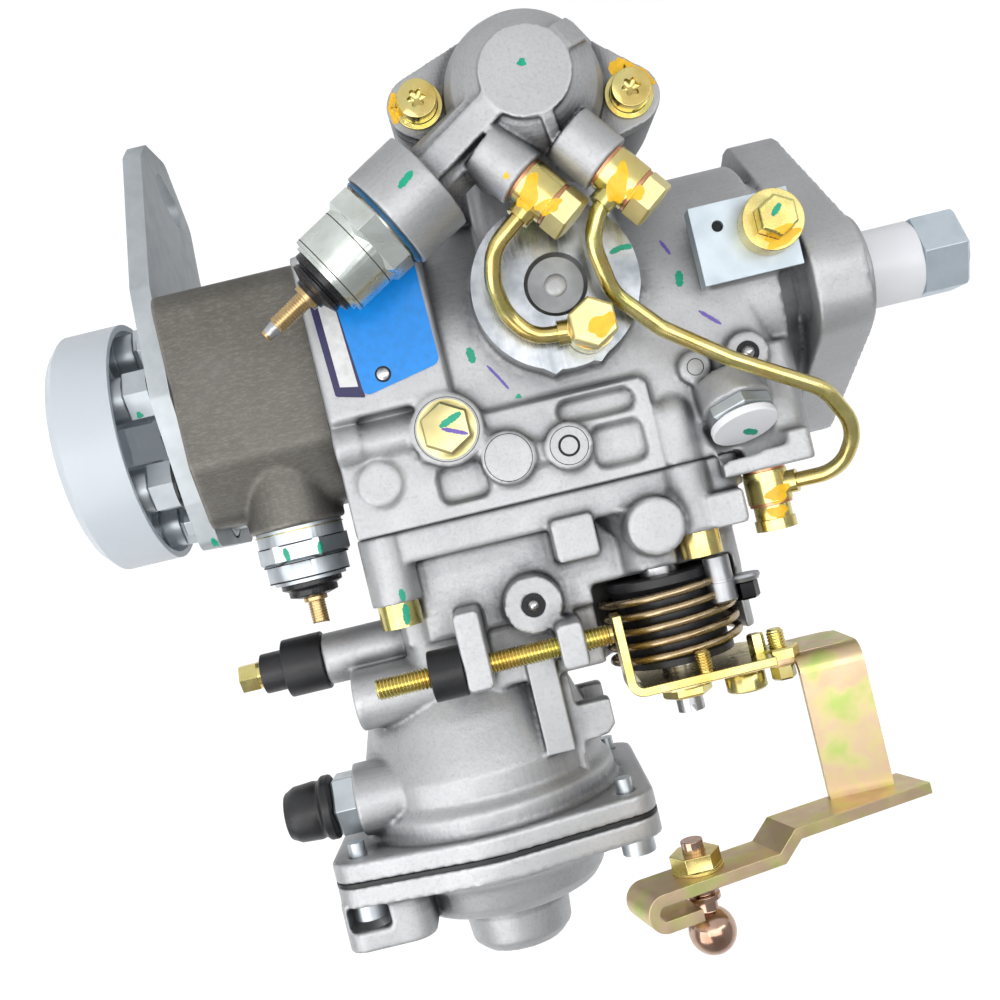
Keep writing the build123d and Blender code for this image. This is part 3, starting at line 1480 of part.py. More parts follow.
subparts = {
    "pump_housing": pump_housing,
    "governor_cover": governor_cover,
    "cover_screws": cover_screws,
    "distributor_head": distributor_head,
    "support_bracket": support_bracket,
    "delivery_valve_holders": delivery_valve_holders,
    "head_plug": head_plug,
    "delivery_cap": delivery_cap,
    "boost_cover": boost_cover,
    "boost_cover_screws": boost_cover_screws,
    "boost_diaphragm": boost_diaphragm,
    "boost_pin": boost_pin,
    "boost_fitting": boost_fitting,
    "boost_fitting_cap": boost_fitting_cap,
    "timer_cover": timer_cover,
    "timer_end_cover": timer_end_cover,
    "small_screws": small_screws,
    "cold_start_solenoid": cold_start_solenoid,
    "terminal_insulators": terminal_insulators,
    "terminal_studs": terminal_studs,
    "stop_solenoid": stop_solenoid,
    "timer_pipe": timer_pipe,
    "overflow_pipe": overflow_pipe,
    "banjo_bolts": banjo_bolts,
    "copper_washers": copper_washers,
    "overflow_valve": overflow_valve,
    "inlet_fitting": inlet_fitting,
    "inlet_cap": inlet_cap,
    "access_plug": access_plug,
    "stop_screws": stop_screws,
    "tamper_collars": tamper_collars,
    "shaft_seal": shaft_seal,
    "shaft_bushes": shaft_bushes,
    "supply_pump_ring": supply_pump_ring,
    "supply_pump_plate": supply_pump_plate,
    "supply_pump_rotor": supply_pump_rotor,
    "supply_pump_vanes": supply_pump_vanes,
    "drive_shaft": drive_shaft,
    "shaft_nut": shaft_nut,
    "shaft_sleeve": shaft_sleeve,
    "drive_gear": drive_gear,
    "flyweight_cage": flyweight_cage,
    "flyweights": flyweights,
    "governor_sleeve": governor_sleeve,
    "governor_shaft": governor_shaft,
    "roller_ring": roller_ring,
    "rollers": rollers,
    "cam_plate": cam_plate,
    "plunger": plunger,
    "timer_piston": timer_piston,
    "shaft_lock_plate": shaft_lock_plate,
    "shaft_lock_bolt": shaft_lock_bolt,
    "throttle_shaft": throttle_shaft,
    "throttle_boot": throttle_boot,
    "throttle_spring": throttle_spring,
    "throttle_bracket": throttle_bracket,
    "throttle_arm": throttle_arm,
    "lever_arm": lever_arm,
    "ball_stud": ball_stud,
    "throttle_nuts": throttle_nuts,
}


def as_part(made):
    if isinstance(made, list):
        solids = [solid for piece in made for solid in piece.solids()]
        return Compound(children=solids)
    return made


os.makedirs("parts", exist_ok=True)
for name, make in subparts.items():
    export_step(as_part(make()), f"parts/{name}.step")
print(len(subparts), "pieces written")
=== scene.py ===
import json
import math

import bmesh
import bpy
import numpy
from mathutils import Matrix, Vector
from mathutils.bvhtree import BVHTree


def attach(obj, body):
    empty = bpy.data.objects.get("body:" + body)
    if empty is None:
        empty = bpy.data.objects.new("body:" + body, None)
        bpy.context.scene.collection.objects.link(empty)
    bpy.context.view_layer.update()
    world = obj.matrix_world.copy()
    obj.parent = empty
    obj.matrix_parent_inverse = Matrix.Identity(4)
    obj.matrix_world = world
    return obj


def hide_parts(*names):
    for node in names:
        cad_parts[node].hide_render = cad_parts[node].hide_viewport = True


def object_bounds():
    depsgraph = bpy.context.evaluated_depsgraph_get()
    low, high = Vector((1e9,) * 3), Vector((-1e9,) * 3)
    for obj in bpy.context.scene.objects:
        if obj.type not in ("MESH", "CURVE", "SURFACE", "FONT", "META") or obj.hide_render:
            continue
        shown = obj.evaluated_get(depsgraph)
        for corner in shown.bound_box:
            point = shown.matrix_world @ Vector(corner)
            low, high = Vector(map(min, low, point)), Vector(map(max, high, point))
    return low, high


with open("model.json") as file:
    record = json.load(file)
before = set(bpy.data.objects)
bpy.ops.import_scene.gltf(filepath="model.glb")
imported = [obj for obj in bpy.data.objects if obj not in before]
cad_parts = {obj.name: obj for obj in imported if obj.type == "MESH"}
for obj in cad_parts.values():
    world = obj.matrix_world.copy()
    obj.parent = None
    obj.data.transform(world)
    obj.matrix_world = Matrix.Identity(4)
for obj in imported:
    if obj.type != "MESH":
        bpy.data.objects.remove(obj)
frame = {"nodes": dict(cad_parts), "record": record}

# Diesel injection pump: finishes, cast surfaces, threads, springs, paint marks and small fittings

cadLow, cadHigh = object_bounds()
record = frame["record"]
bodyOf = {node: body for body, members in record["behaviour"]["bodies"].items() for node in members}
slotOf = {part["node"]: part["material_slot"] for part in record["subparts"]}
mm = 0.001
made = {}        # pieces by name


# Camera at the photograph's place: level with the pump, rolled so that the pump hangs upside down

cameraView = {"place": (114, -375, 44), "roll": 166.5, "lens": 42.2, "sensor": 36.0}


def makeCamera(view):
    roll = math.radians(view["roll"])
    right = Vector((math.cos(roll), 0, math.sin(roll)))
    up = Vector((-math.sin(roll), 0, math.cos(roll)))
    camera = bpy.data.objects.new("camera", bpy.data.cameras.new("camera"))
    bpy.context.scene.collection.objects.link(camera)
    turn = Matrix((right, up, right.cross(up))).transposed().to_4x4()
    camera.matrix_world = Matrix.Translation(Vector(view["place"]) * mm) @ turn
    camera.data.lens = view["lens"]
    camera.data.sensor_width = view["sensor"]
    camera.data.clip_start = 0.01
    bpy.context.scene.camera = camera


makeCamera(cameraView)
print("camera set")


# Node helpers

def addNode(tree, kind, inputs=None, **settings):
    node = tree.nodes.new(kind)
    for key, value in settings.items():
        setattr(node, key, value)
    for key, value in (inputs or {}).items():
        if isinstance(value, bpy.types.NodeSocket):
            tree.links.new(value, node.inputs[key])
        else:
            node.inputs[key].default_value = value
    return node


def objectPoint(tree, stretch=(1, 1, 1), turn=(0, 0, 0)):
    place = addNode(tree, "ShaderNodeTexCoord").outputs["Object"]
    settings = {"Vector": place, "Scale": stretch, "Rotation": [math.radians(a) for a in turn]}
    return addNode(tree, "ShaderNodeMapping", settings).outputs["Vector"]


def noiseOf(tree, scale, detail=3.0, rough=0.5, stretch=(1, 1, 1), turn=(0, 0, 0)):
    place = objectPoint(tree, stretch, turn)
    values = {"Vector": place, "Scale": scale, "Detail": detail, "Roughness": rough}
    return addNode(tree, "ShaderNodeTexNoise", values).outputs["Fac"]


def spread(tree, value, low, high, fromLow=0.3, fromHigh=0.7):
    values = {"Value": value, "From Min": fromLow, "From Max": fromHigh, "To Min": low, "To Max": high}
    return addNode(tree, "ShaderNodeMapRange", values, clamp=True).outputs["Result"]


def rampOf(tree, value, stops):
    node = addNode(tree, "ShaderNodeValToRGB", {"Fac": value})
    line = node.color_ramp
    while len(line.elements) < len(stops):
        line.elements.new(0.5)
    for element, (place, colour) in zip(line.elements, stops):
        element.position = place
        element.color = (*colour, 1)
    return node.outputs["Color"]


def blendOf(tree, share, first, second, way="MIX"):
    node = addNode(tree, "ShaderNodeMix", data_type="RGBA", blend_type=way)
    for socket, value in ((node.inputs[0], share), (node.inputs[6], first), (node.inputs[7], second)):
        if isinstance(value, bpy.types.NodeSocket):
            tree.links.new(value, socket)
        elif isinstance(value, (int, float)):
            socket.default_value = value
        else:
            socket.default_value = (*value, 1)
    return node.outputs[2]


def bumpOf(tree, height, depth, strength=1.0, before=None):
    values = {"Height": height, "Distance": depth * mm, "Strength": strength}
    if before is not None:
        values["Normal"] = before
    return addNode(tree, "ShaderNodeBump", values).outputs["Normal"]


def startMaterial(name, metallic, ior=1.5):
    material = bpy.data.materials.new(name)
    material.use_nodes = True
    shader = material.node_tree.nodes["Principled BSDF"]
    shader.inputs["Metallic"].default_value = metallic
    shader.inputs["IOR"].default_value = ior
    return material, material.node_tree, shader


def feed(tree, shader, **links):
    for key, value in links.items():
        socket = shader.inputs[key.replace("_", " ")]
        if isinstance(value, bpy.types.NodeSocket):
            tree.links.new(value, socket)
        else:
            socket.default_value = value


# Grey levels along a ramp, and the painted shade that they give to creases and to closed corners

def greySteps(*steps):
    return [(place, (level, level, level)) for place, level in steps]


# Painted shade: the tone is darkened where the surface creases inward, by pointiness
def paintCreaseShade(tree, share, tone, steps):
    edge = addNode(tree, "ShaderNodeNewGeometry").outputs["Pointiness"]
    return blendOf(tree, share, tone, rampOf(tree, edge, steps), "MULTIPLY")


# Painted shade: the tone is darkened where the openness attribute marks a closed corner
def paintCornerShade(tree, tone, steps):
    openness = addNode(tree, "ShaderNodeAttribute", attribute_name="openness").outputs["Fac"]
    return blendOf(tree, 1.0, tone, rampOf(tree, openness, steps), "MULTIPLY")


# Finishes

# The edges and corners ramps are painted shade, darkening the casting in creases and closed corners
castLook = {
    "metal": 0.62, "body": (0.49, 0.495, 0.505), "dark": (0.30, 0.305, 0.315), "rough": (0.38, 0.54),
    "cloud": 30, "grain": 1300, "depth": 0.10,
    "edges": greySteps((0.43, 0.5), (0.487, 0.95), (0.53, 1.0)),
    "corners": ((0.0, (0.16, 0.16, 0.17)), (0.45, (0.5, 0.5, 0.51)), (1.0, (1, 1, 1))),
}


def castAluminium(name, look):
    material, tree, shader = startMaterial(name, look["metal"])
    cloud = spread(tree, noiseOf(tree, look["cloud"], 4), 0.0, 0.6)
    tone = blendOf(tree, cloud, look["body"], look["dark"])
    speck = spread(tree, noiseOf(tree, look["grain"] * 0.75, 3, 0.65), 0.0, 0.55, 0.5, 0.78)
    tone = blendOf(tree, speck, tone, look["dark"])
    # painted shade: creases and closed corners darkened in the base colour
    tone = paintCreaseShade(tree, 1.0, tone, look["edges"])
    tone = paintCornerShade(tree, tone, look["corners"])
    grain = noiseOf(tree, look["grain"], 3, 0.6)
    coarse = noiseOf(tree, look["grain"] * 0.2, 2)
    normal = bumpOf(tree, coarse, look["depth"] * 1.8, 0.5)
    normal = bumpOf(tree, grain, look["depth"], 0.6, normal)
    feed(tree, shader, Base_Color=tone, Roughness=spread(tree, grain, *look["rough"]), Normal=normal)
    return material


machinedLook = {
    "metal": 1.0, "body": (0.42, 0.44, 0.465), "dark": (0.22, 0.24, 0.26), "rough": (0.22, 0.34),
    "cloud": 75, "dent": 0.25, "lines": 700, "turn": 38, "depth": 0.01,
}


def machinedAluminium(name, look):
    material, tree, shader = startMaterial(name, look["metal"])
    marks = noiseOf(tree, look["lines"], 2, 0.5, (1, 1, 0.06), (0, look["turn"], 0))
    cloud = noiseOf(tree, look["cloud"], 3, 0.6)
    tone = blendOf(tree, spread(tree, cloud, 0, 1, 0.38, 0.62), look["body"], look["dark"])
    normal = bumpOf(tree, cloud, look["dent"], 0.5)
    normal = bumpOf(tree, marks, look["depth"], 0.5, normal)
    feed(tree, shader, Base_Color=tone, Roughness=spread(tree, marks, *look["rough"]), Normal=normal)
    return material


headLook = {
    "metal": 0.6, "body": (0.135, 0.128, 0.116), "worn": (0.30, 0.285, 0.26), "deep": (0.092, 0.085, 0.073),
    "scored": (0.035, 0.03, 0.025), "rough": (0.38, 0.52), "cloud": 26,
    "strokes": {"scale": 1700, "depth": 0.05}, "fine": {"scale": 1500, "depth": 0.03},
    "scratch": {"scale": 210, "depth": 0.08, "turn": -9},
    # corners: painted shade for the closed corners of the head
    "corners": greySteps((0.0, 0.2), (0.5, 0.6), (1.0, 1.0)),
}


def phosphatedSteel(name, look):
    material, tree, shader = startMaterial(name, look["metal"])
    strokes = noiseOf(tree, look["strokes"]["scale"], 4, 0.75, (0.3, 1, 1))
    fine = noiseOf(tree, look["fine"]["scale"], 3, 0.6)
    scratch = noiseOf(tree, look["scratch"]["scale"], 2, 0.5, (0.05, 1, 1), (0, look["scratch"]["turn"], 0))
    cloud = noiseOf(tree, look["cloud"], 4)
    tone = blendOf(tree, spread(tree, cloud, 0, 1), look["body"], look["deep"])
    tone = blendOf(tree, spread(tree, strokes, 0, 0.3, 0.45, 0.75), tone, look["worn"])
    tone = blendOf(tree, spread(tree, scratch, 0, 0.75, 0.69, 0.74), tone, look["scored"])
    edge = addNode(tree, "ShaderNodeNewGeometry").outputs["Pointiness"]
    tone = blendOf(tree, spread(tree, edge, 0, 0.8, 0.515, 0.57), tone, look["worn"])
    # painted shade: closed corners darkened in the base colour
    tone = paintCornerShade(tree, tone, look["corners"])
    normal = bumpOf(tree, scratch, look["scratch"]["depth"], 0.3)
    normal = bumpOf(tree, strokes, look["strokes"]["depth"], 0.4, normal)
    normal = bumpOf(tree, fine, look["fine"]["depth"], 0.5, normal)
    feed(tree, shader, Base_Color=tone, Roughness=spread(tree, fine, *look["rough"]), Normal=normal)
    return material


# Plated and bare steel share one recipe; a look gives only what departs from it
platedLook = {
    "metal": 1.0, "rough": (0.24, 0.33), "cloud": 90, "grain": 260, "depth": 0.006,
    # edges: a grey ramp of painted shade that darkens creases
    "stretch": (1, 1, 1), "turn": (0, 0, 0), "edges": greySteps((0.40, 0.4), (0.49, 1.0), (0.6, 1.0)),
}


def platedSteel(name, **changes):
    look = {**platedLook, **changes}
    material, tree, shader = startMaterial(name, look["metal"])
    fine = noiseOf(tree, look["grain"], 2, 0.5, look["stretch"], look["turn"])
    tone = rampOf(tree, noiseOf(tree, look["cloud"], 3), look["tones"])
    # painted shade: creases darkened in the base colour
    tone = paintCreaseShade(tree, 0.8, tone, look["edges"])
    normal = bumpOf(tree, fine, look["depth"], 0.4)
    feed(tree, shader, Base_Color=tone, Roughness=spread(tree, fine, *look["rough"]), Normal=normal)
    return material


# Each metal: its material's name, its gloss and its tones along the clouds
metals = {
    "zinc": {
        "name": "clear_zinc", "rough": (0.36, 0.47),
        "tones": ((0.3, (0.44, 0.475, 0.50)), (0.55, (0.53, 0.57, 0.60)), (0.75, (0.47, 0.51, 0.54))),
    },
    "satin": {
        "name": "satin_zinc", "rough": (0.5, 0.6), "metal": 0.8,
        "tones": ((0.3, (0.40, 0.43, 0.45)), (0.55, (0.47, 0.50, 0.52)), (0.75, (0.43, 0.46, 0.48))),
    },
    "nut": {
        "name": "blue_white_zinc", "rough": (0.42, 0.52), "metal": 0.8,
        "tones": ((0.3, (0.50, 0.57, 0.63)), (0.55, (0.58, 0.65, 0.71)), (0.75, (0.54, 0.60, 0.66))),
    },
    "sheet": {
        "name": "plate_zinc", "rough": (0.42, 0.52), "metal": 0.7,
        "tones": ((0.3, (0.44, 0.50, 0.55)), (0.55, (0.52, 0.59, 0.64)), (0.75, (0.48, 0.54, 0.59))),
    },
    "canister": {
        "name": "brushed_zinc", "stretch": (0.08, 1, 1), "turn": (0, 30, 0),
        "tones": ((0.3, (0.56, 0.59, 0.54)), (0.55, (0.72, 0.77, 0.74)), (0.75, (0.66, 0.69, 0.62))),
    },
    "gold": {
        "name": "yellow_zinc", "rough": (0.18, 0.3),
        "tones": (
            (0.25, (0.50, 0.36, 0.10)), (0.42, (0.68, 0.53, 0.19)), (0.55, (0.66, 0.58, 0.24)),
            (0.68, (0.55, 0.50, 0.16)), (0.8, (0.66, 0.42, 0.22)),
        ),
    },
    "rainbow": {
        "name": "rainbow_zinc", "rough": (0.36, 0.5), "cloud": 80,
        "tones": (
            (0.25, (0.54, 0.56, 0.16)), (0.4, (0.64, 0.55, 0.26)), (0.52, (0.65, 0.48, 0.33)),
            (0.62, (0.63, 0.56, 0.27)), (0.75, (0.46, 0.56, 0.17)),
        ),
    },
    "pale": {
        "name": "pale_yellow_zinc", "rough": (0.36, 0.48),
        "tones": ((0.3, (0.66, 0.56, 0.24)), (0.5, (0.74, 0.66, 0.34)), (0.7, (0.70, 0.60, 0.27))),
    },
    "bronze": {
        "name": "spring_bronze", "rough": (0.2, 0.34),
        "tones": ((0.3, (0.28, 0.20, 0.11)), (0.5, (0.42, 0.33, 0.20)), (0.7, (0.36, 0.26, 0.15))),
    },
    "stud": {
        "name": "stud_brass", "rough": (0.22, 0.36),
        "tones": ((0.3, (0.42, 0.29, 0.14)), (0.5, (0.55, 0.40, 0.20)), (0.7, (0.46, 0.33, 0.17))),
    },
    "copper": {
        "name": "copper_red", "rough": (0.25, 0.4),
        "tones": ((0.3, (0.48, 0.20, 0.11)), (0.5, (0.62, 0.30, 0.17)), (0.7, (0.55, 0.24, 0.13))),
    },
    "steel": {
        "name": "ground_steel", "rough": (0.22, 0.36),
        "tones": ((0.3, (0.36, 0.36, 0.37)), (0.5, (0.5, 0.5, 0.51)), (0.7, (0.42, 0.42, 0.43))),
    },
    "ball": {
        "name": "ball_copper", "rough": (0.12, 0.22),
        "tones": ((0.3, (0.34, 0.20, 0.14)), (0.5, (0.50, 0.34, 0.26)), (0.7, (0.42, 0.28, 0.20))),
    },
    "blued": {
        "name": "black_oxide", "rough": (0.2, 0.34),
        "tones": ((0.3, (0.010, 0.010, 0.012)), (0.5, (0.02, 0.02, 0.022)), (0.7, (0.03, 0.03, 0.032))),
    },
    "recess": {
        "name": "recess_grey", "rough": (0.3, 0.42),
        "tones": ((0.3, (0.16, 0.165, 0.17)), (0.5, (0.24, 0.245, 0.25)), (0.7, (0.19, 0.195, 0.2))),
    },
    "pin": {
        "name": "bare_aluminium", "rough": (0.3, 0.42),
        "tones": ((0.3, (0.42, 0.43, 0.45)), (0.5, (0.55, 0.56, 0.58)), (0.7, (0.47, 0.48, 0.5))),
    },
}


rubberLook = {
    "ior": 1.45, "cloud": 70, "grain": 1400, "depth": 0.02,
    "tones": ((0.3, (0.006, 0.006, 0.007)), (0.7, (0.018, 0.018, 0.02))),
}


def blackRubber(name, rough=(0.32, 0.5)):
    look = rubberLook
    material, tree, shader = startMaterial(name, 0.0, look["ior"])
    fine = noiseOf(tree, look["grain"], 3, 0.6)
    tone = rampOf(tree, noiseOf(tree, look["cloud"], 3), look["tones"])
    normal = bumpOf(tree, fine, look["depth"], 0.5)
    feed(tree, shader, Base_Color=tone, Roughness=spread(tree, fine, *rough), Normal=normal)
    return material


plasticLook = {"ior": 1.5, "cloud": 45, "shade": 0.93, "grain": 900, "depth": 0.02, "rough": (0.3, 0.42)}


def milkyPlastic(name, colour, clear):
    look = plasticLook
    material, tree, shader = startMaterial(name, 0.0, look["ior"])
    cloud = spread(tree, noiseOf(tree, look["cloud"], 3), 0, 0.5)
    fine = noiseOf(tree, look["grain"], 2)
    tone = blendOf(tree, cloud, colour, [c * look["shade"] for c in colour])
    rough, normal = spread(tree, fine, *look["rough"]), bumpOf(tree, fine, look["depth"], 0.4)
    feed(tree, shader, Base_Color=tone, Roughness=rough, Normal=normal, Transmission_Weight=clear)
    return material


markLook = {"ior": 1.45, "streak": 500, "shade": 0.7, "depth": 0.04}


def paintMark(name, colour, rough=0.35):
    look = markLook
    material, tree, shader = startMaterial(name, 0.0, look["ior"])
    streak = noiseOf(tree, look["streak"], 3)
    tone = blendOf(tree, spread(tree, streak, 0, 0.6), colour, [c * look["shade"] for c in colour])
    normal = bumpOf(tree, streak, look["depth"], 0.6)
    feed(tree, shader, Base_Color=tone, Roughness=rough, Normal=normal)
    return material


finishes = {
    "cast": castAluminium("cast_aluminium", castLook),
    "machined": machinedAluminium("machined_aluminium", machinedLook),
    "head": phosphatedSteel("phosphated_steel", headLook),
    "rubber": blackRubber("black_rubber"),
    "black": blackRubber("black_plastic", (0.22, 0.36)),
    # shadow: dark rubber laid where grooves, holes and gaps show only shade, as painted shadow
    "shadow": blackRubber("painted_shadow_black", (0.6, 0.8)),
    "cap": milkyPlastic("milky_cap", (0.72, 0.77, 0.82), 0.4),
    "sleeve": milkyPlastic("white_sleeve", (0.76, 0.77, 0.80), 0.0),
    "blue": paintMark("blue_plate", (0.0, 0.24, 0.74), 0.3),
    "teal": paintMark("blue_ring", (0.008, 0.085, 0.19), 0.3),
    "navy": paintMark("navy_band", (0.020, 0.016, 0.085), 0.4),
    "paper": paintMark("blank_label", (0.66, 0.66, 0.66), 0.5),
    "green": paintMark("green_paint", (0.0, 0.34, 0.20)),
    "violet": paintMark("violet_paint", (0.14, 0.09, 0.42)),
    "yellow": paintMark("yellow_paint", (0.90, 0.52, 0.015)),
}
finishes.update({key: platedSteel(**look) for key, look in metals.items()})
print("finishes made:", len(finishes))


# Studio: pale floor, one sided backdrop, even light and four soft lamps

# glow is the cards' share of own light to a straight ray, mirrorGlow to a glossy one
studio = {
    "pale": (0.93, 0.93, 0.935), "glow": 0.88, "glowPower": 1.10, "mirrorGlow": 0.30,
    "floorGap": 0.4, "floorSize": 3.0, "backdropY": 105, "sky": (0.97, 0.985, 1.0), "ambient": 0.40,
    "lamps": (
        {"place": (60, -760, -160), "aim": (110, 0, 30), "size": 0.95, "power": 8.3},
        {"place": (-420, -560, -260), "aim": (110, 0, 40), "size": 0.5, "power": 4.0},
        {"place": (560, -480, 300), "aim": (110, 0, 40), "size": 0.6, "power": 3.0},
        {"place": (100, 500, 600), "aim": (110, 0, 30), "size": 0.8, "power": 6.0},
    ),
}


# One where a ray comes straight from the camera or through glass
def seenStraight(tree, path):
    rays = {0: path.outputs["Is Camera Ray"], 1: path.outputs["Is Transmission Ray"]}
    return addNode(tree, "ShaderNodeMath", rays, operation="MAXIMUM").outputs[0]


def scaled(tree, value, factor):
    return addNode(tree, "ShaderNodeMath", {0: value, 1: factor}, operation="MULTIPLY").outputs[0]


def mixShaders(tree, share, first, second):
    return addNode(tree, "ShaderNodeMixShader", {0: share, 1: first, 2: second}).outputs[0]


def paleCard(name, oneSided):
    material = bpy.data.materials.new(name)
    material.use_nodes = True
    tree = material.node_tree
    tree.nodes.clear()
    path = addNode(tree, "ShaderNodeLightPath")
    seen = scaled(tree, seenStraight(tree, path), studio["glow"])
    mirrored = scaled(tree, path.outputs["Is Glossy Ray"], studio["mirrorGlow"])
    share = addNode(tree, "ShaderNodeMath", {0: seen, 1: mirrored}, operation="MAXIMUM").outputs[0]
    matte = addNode(tree, "ShaderNodeBsdfDiffuse", {"Color": (*studio["pale"], 1)}).outputs[0]
    light = {"Color": (1, 1, 1, 1), "Strength": studio["glowPower"]}
    surface = mixShaders(tree, share, matte, addNode(tree, "ShaderNodeEmission", light).outputs[0])
    if oneSided:
        back = addNode(tree, "ShaderNodeNewGeometry").outputs["Backfacing"]
        surface = mixShaders(tree, back, surface, addNode(tree, "ShaderNodeBsdfTransparent").outputs[0])
    addNode(tree, "ShaderNodeOutputMaterial", {"Surface": surface})
    return material


def makeCard(name, centre, size, turn, oneSided):
    grid = bmesh.new()
    place = Matrix.Translation(centre) @ turn
    bmesh.ops.create_grid(grid, x_segments=2, y_segments=2, size=size / 2, matrix=place)
    mesh = bpy.data.meshes.new(name)
    grid.to_mesh(mesh)
    grid.free()
    mesh.materials.append(paleCard(name + "_white", oneSided))
    card = bpy.data.objects.new(name, mesh)
    bpy.context.scene.collection.objects.link(card)


def makeLamp(name, values):
    lamp = bpy.data.objects.new(name, bpy.data.lights.new(name, "AREA"))
    bpy.context.scene.collection.objects.link(lamp)
    lamp.data.shape = "SQUARE"
    lamp.data.size = values["size"]
    lamp.data.energy = values["power"]
    lamp.location = Vector(values["place"]) * mm
    lamp.rotation_mode = "QUATERNION"
    aim = Vector(values["aim"]) * mm - lamp.location
    lamp.rotation_quaternion = aim.to_track_quat("-Z", "Y")


def makeWorld():
    world = bpy.data.worlds.new("studio_light")
    world.use_nodes = True
    tree = world.node_tree
    plain = tree.nodes["Background"]
    plain.inputs["Color"].default_value = (*studio["sky"], 1)
    plain.inputs["Strength"].default_value = studio["ambient"]
    bright = addNode(tree, "ShaderNodeBackground", {"Color": (1, 1, 1, 1), "Strength": 1.0})
    seen = seenStraight(tree, addNode(tree, "ShaderNodeLightPath"))
    mix = mixShaders(tree, seen, plain.outputs[0], bright.outputs[0])
    tree.links.new(mix, tree.nodes["World Output"].inputs["Surface"])
    bpy.context.scene.world = world


def makeStudio():
    size = studio["floorSize"]
    floorZ = cadLow.z - studio["floorGap"] * mm
    middle = (cadLow + cadHigh) / 2
    makeCard("floor", Vector((middle.x, middle.y, floorZ)), size, Matrix.Identity(4), False)
    behind = Vector((middle.x, studio["backdropY"] * mm, floorZ + size / 2))
    makeCard("backdrop", behind, size, Matrix.Rotation(math.radians(90), 4, "X"), True)
    for index, values in enumerate(studio["lamps"]):
        makeLamp("lamp_%d" % index, values)
    makeWorld()
    bpy.context.scene.view_settings.view_transform = "Standard"


makeStudio()
print("studio set")


# Piece helpers

def keep(piece, body, stands=()):
    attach(piece, body)
    if stands:
        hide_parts(*stands)
    made[piece.name] = piece
    return piece


def pieceFrom(bm, name, finish, body, stands=(), crease=38):
    mesh = bpy.data.meshes.new(name)
    bm.to_mesh(mesh)
    bm.free()
    mesh.materials.append(finishes[finish])
    mesh.shade_smooth()
    mesh.set_sharp_from_angle(angle=math.radians(crease))
    piece = bpy.data.objects.new(name, mesh)
    bpy.context.scene.collection.objects.link(piece)
    return keep(piece, body, stands)


def nodeCopy(node):
    bm = bmesh.new()
    bm.from_mesh(frame["nodes"][node].data)
    bmesh.ops.remove_doubles(bm, verts=bm.verts, dist=0.002 * mm)
    return bm


def applyModifiers(piece):
    graph = bpy.context.evaluated_depsgraph_get()
    mesh = bpy.data.meshes.new_from_object(piece.evaluated_get(graph))
    piece.modifiers.clear()
    piece.data = mesh


# Castings: the frame's solids rounded over as a mould leaves them

# The governor cover's end wall, which its solid leaves open: outline in (x, y) and heights
coverWall = {
    "outline": (
        (48.0, -21.0), (48.0, 21.0), (48.6, 24.0), (49.8, 26.0), (50.9, 27.4), (53.0, 27.4), (51.9, 24.5),
        (51.3, 21.0), (51.3, -21.0), (51.3, -27.4), (50.9, -27.4), (49.8, -26.0), (48.6, -24.0),
    ),
    "heights": (54.5, 91.0),
}
castings = {
    "pump_housing": {"voxel": 0.85, "soften": 2, "limit": 190000},
    "governor_cover": {"voxel": 0.75, "soften": 2, "limit": 190000, "wall": coverWall},
    "boost_cover": {"voxel": 0.7, "soften": 2, "limit": 120000},
    "timer_cover": {"voxel": 0.5, "soften": 2, "limit": 130000},
    "distributor_head": {"voxel": 0.9, "soften": 2, "limit": 90000, "finish": "head"},
    "timer_end_cover": {"voxel": 0.7, "soften": 2, "limit": 60000},
}


def addWall(bm, outline, heights):
    low, high = heights
    foot = bm.faces.new([bm.verts.new((x * mm, y * mm, low * mm)) for x, y in outline])
    grown = bmesh.ops.extrude_face_region(bm, geom=[foot])
    top = [item for item in grown["geom"] if isinstance(item, bmesh.types.BMVert)]
    bmesh.ops.translate(bm, verts=top, vec=(0, 0, (high - low) * mm))


def castingPiece(node, values):
    bm = nodeCopy(node)
    if "wall" in values:
        addWall(bm, **values["wall"])
    name = node + "_casting"
    mesh = bpy.data.meshes.new(name)
    bm.to_mesh(mesh)
    bm.free()
    piece = bpy.data.objects.new(name, mesh)
    bpy.context.scene.collection.objects.link(piece)
    skin = piece.modifiers.new("skin", "REMESH")
    skin.mode = "VOXEL"
    skin.voxel_size = values["voxel"] * mm * 1.0
    soft = piece.modifiers.new("soft", "SMOOTH")
    soft.factor = 0.5
    soft.iterations = values["soften"]
    applyModifiers(piece)
    triangles = sum(len(face.vertices) - 2 for face in piece.data.polygons)
    if triangles > values["limit"]:
        thin = piece.modifiers.new("thin", "DECIMATE")
        thin.ratio = values["limit"] / triangles
        applyModifiers(piece)
    piece.data.materials.clear()
    piece.data.materials.append(finishes[values.get("finish", "cast")])
    piece.data.shade_smooth()
    print(name, triangles, "triangles before thinning", len(piece.data.polygons), "faces")
    return keep(piece, bodyOf[node], (node,))


castShapes = [castingPiece(node, values) for node, values in castings.items()]


# How open each point of the castings lies: walls that stand before it within a few millimetres close it, and
# the castings' base colour is darkened there as painted shade

# A reach counts the filled cells in a block (half, in cells) one step in front of a point: full closes it
crowding = {
    "cell": 1.0, "margin": 12.0,
    "reaches": ({"half": 2, "step": 3.4, "full": 45.0}, {"half": 5, "step": 7.6, "full": 190.0}),
}


def boxSum(grid, half):
    for axis in range(3):
        pad = [(0, 0)] * 3
        pad[axis] = (half + 1, half)
        total = numpy.cumsum(numpy.pad(grid, pad), axis=axis)
        size = total.shape[axis]
        upper = numpy.take(total, range(2 * half + 1, size), axis=axis)
        lower = numpy.take(total, range(0, size - 2 * half - 1), axis=axis)
        grid = upper - lower
    return grid


def meshArray(piece, kind):
    values = numpy.empty(len(piece.data.vertices) * 3)
    if kind == "place":
        piece.data.vertices.foreach_get("co", values)
    else:
        piece.data.vertex_normals.foreach_get("vector", values)
    return values.reshape(-1, 3)


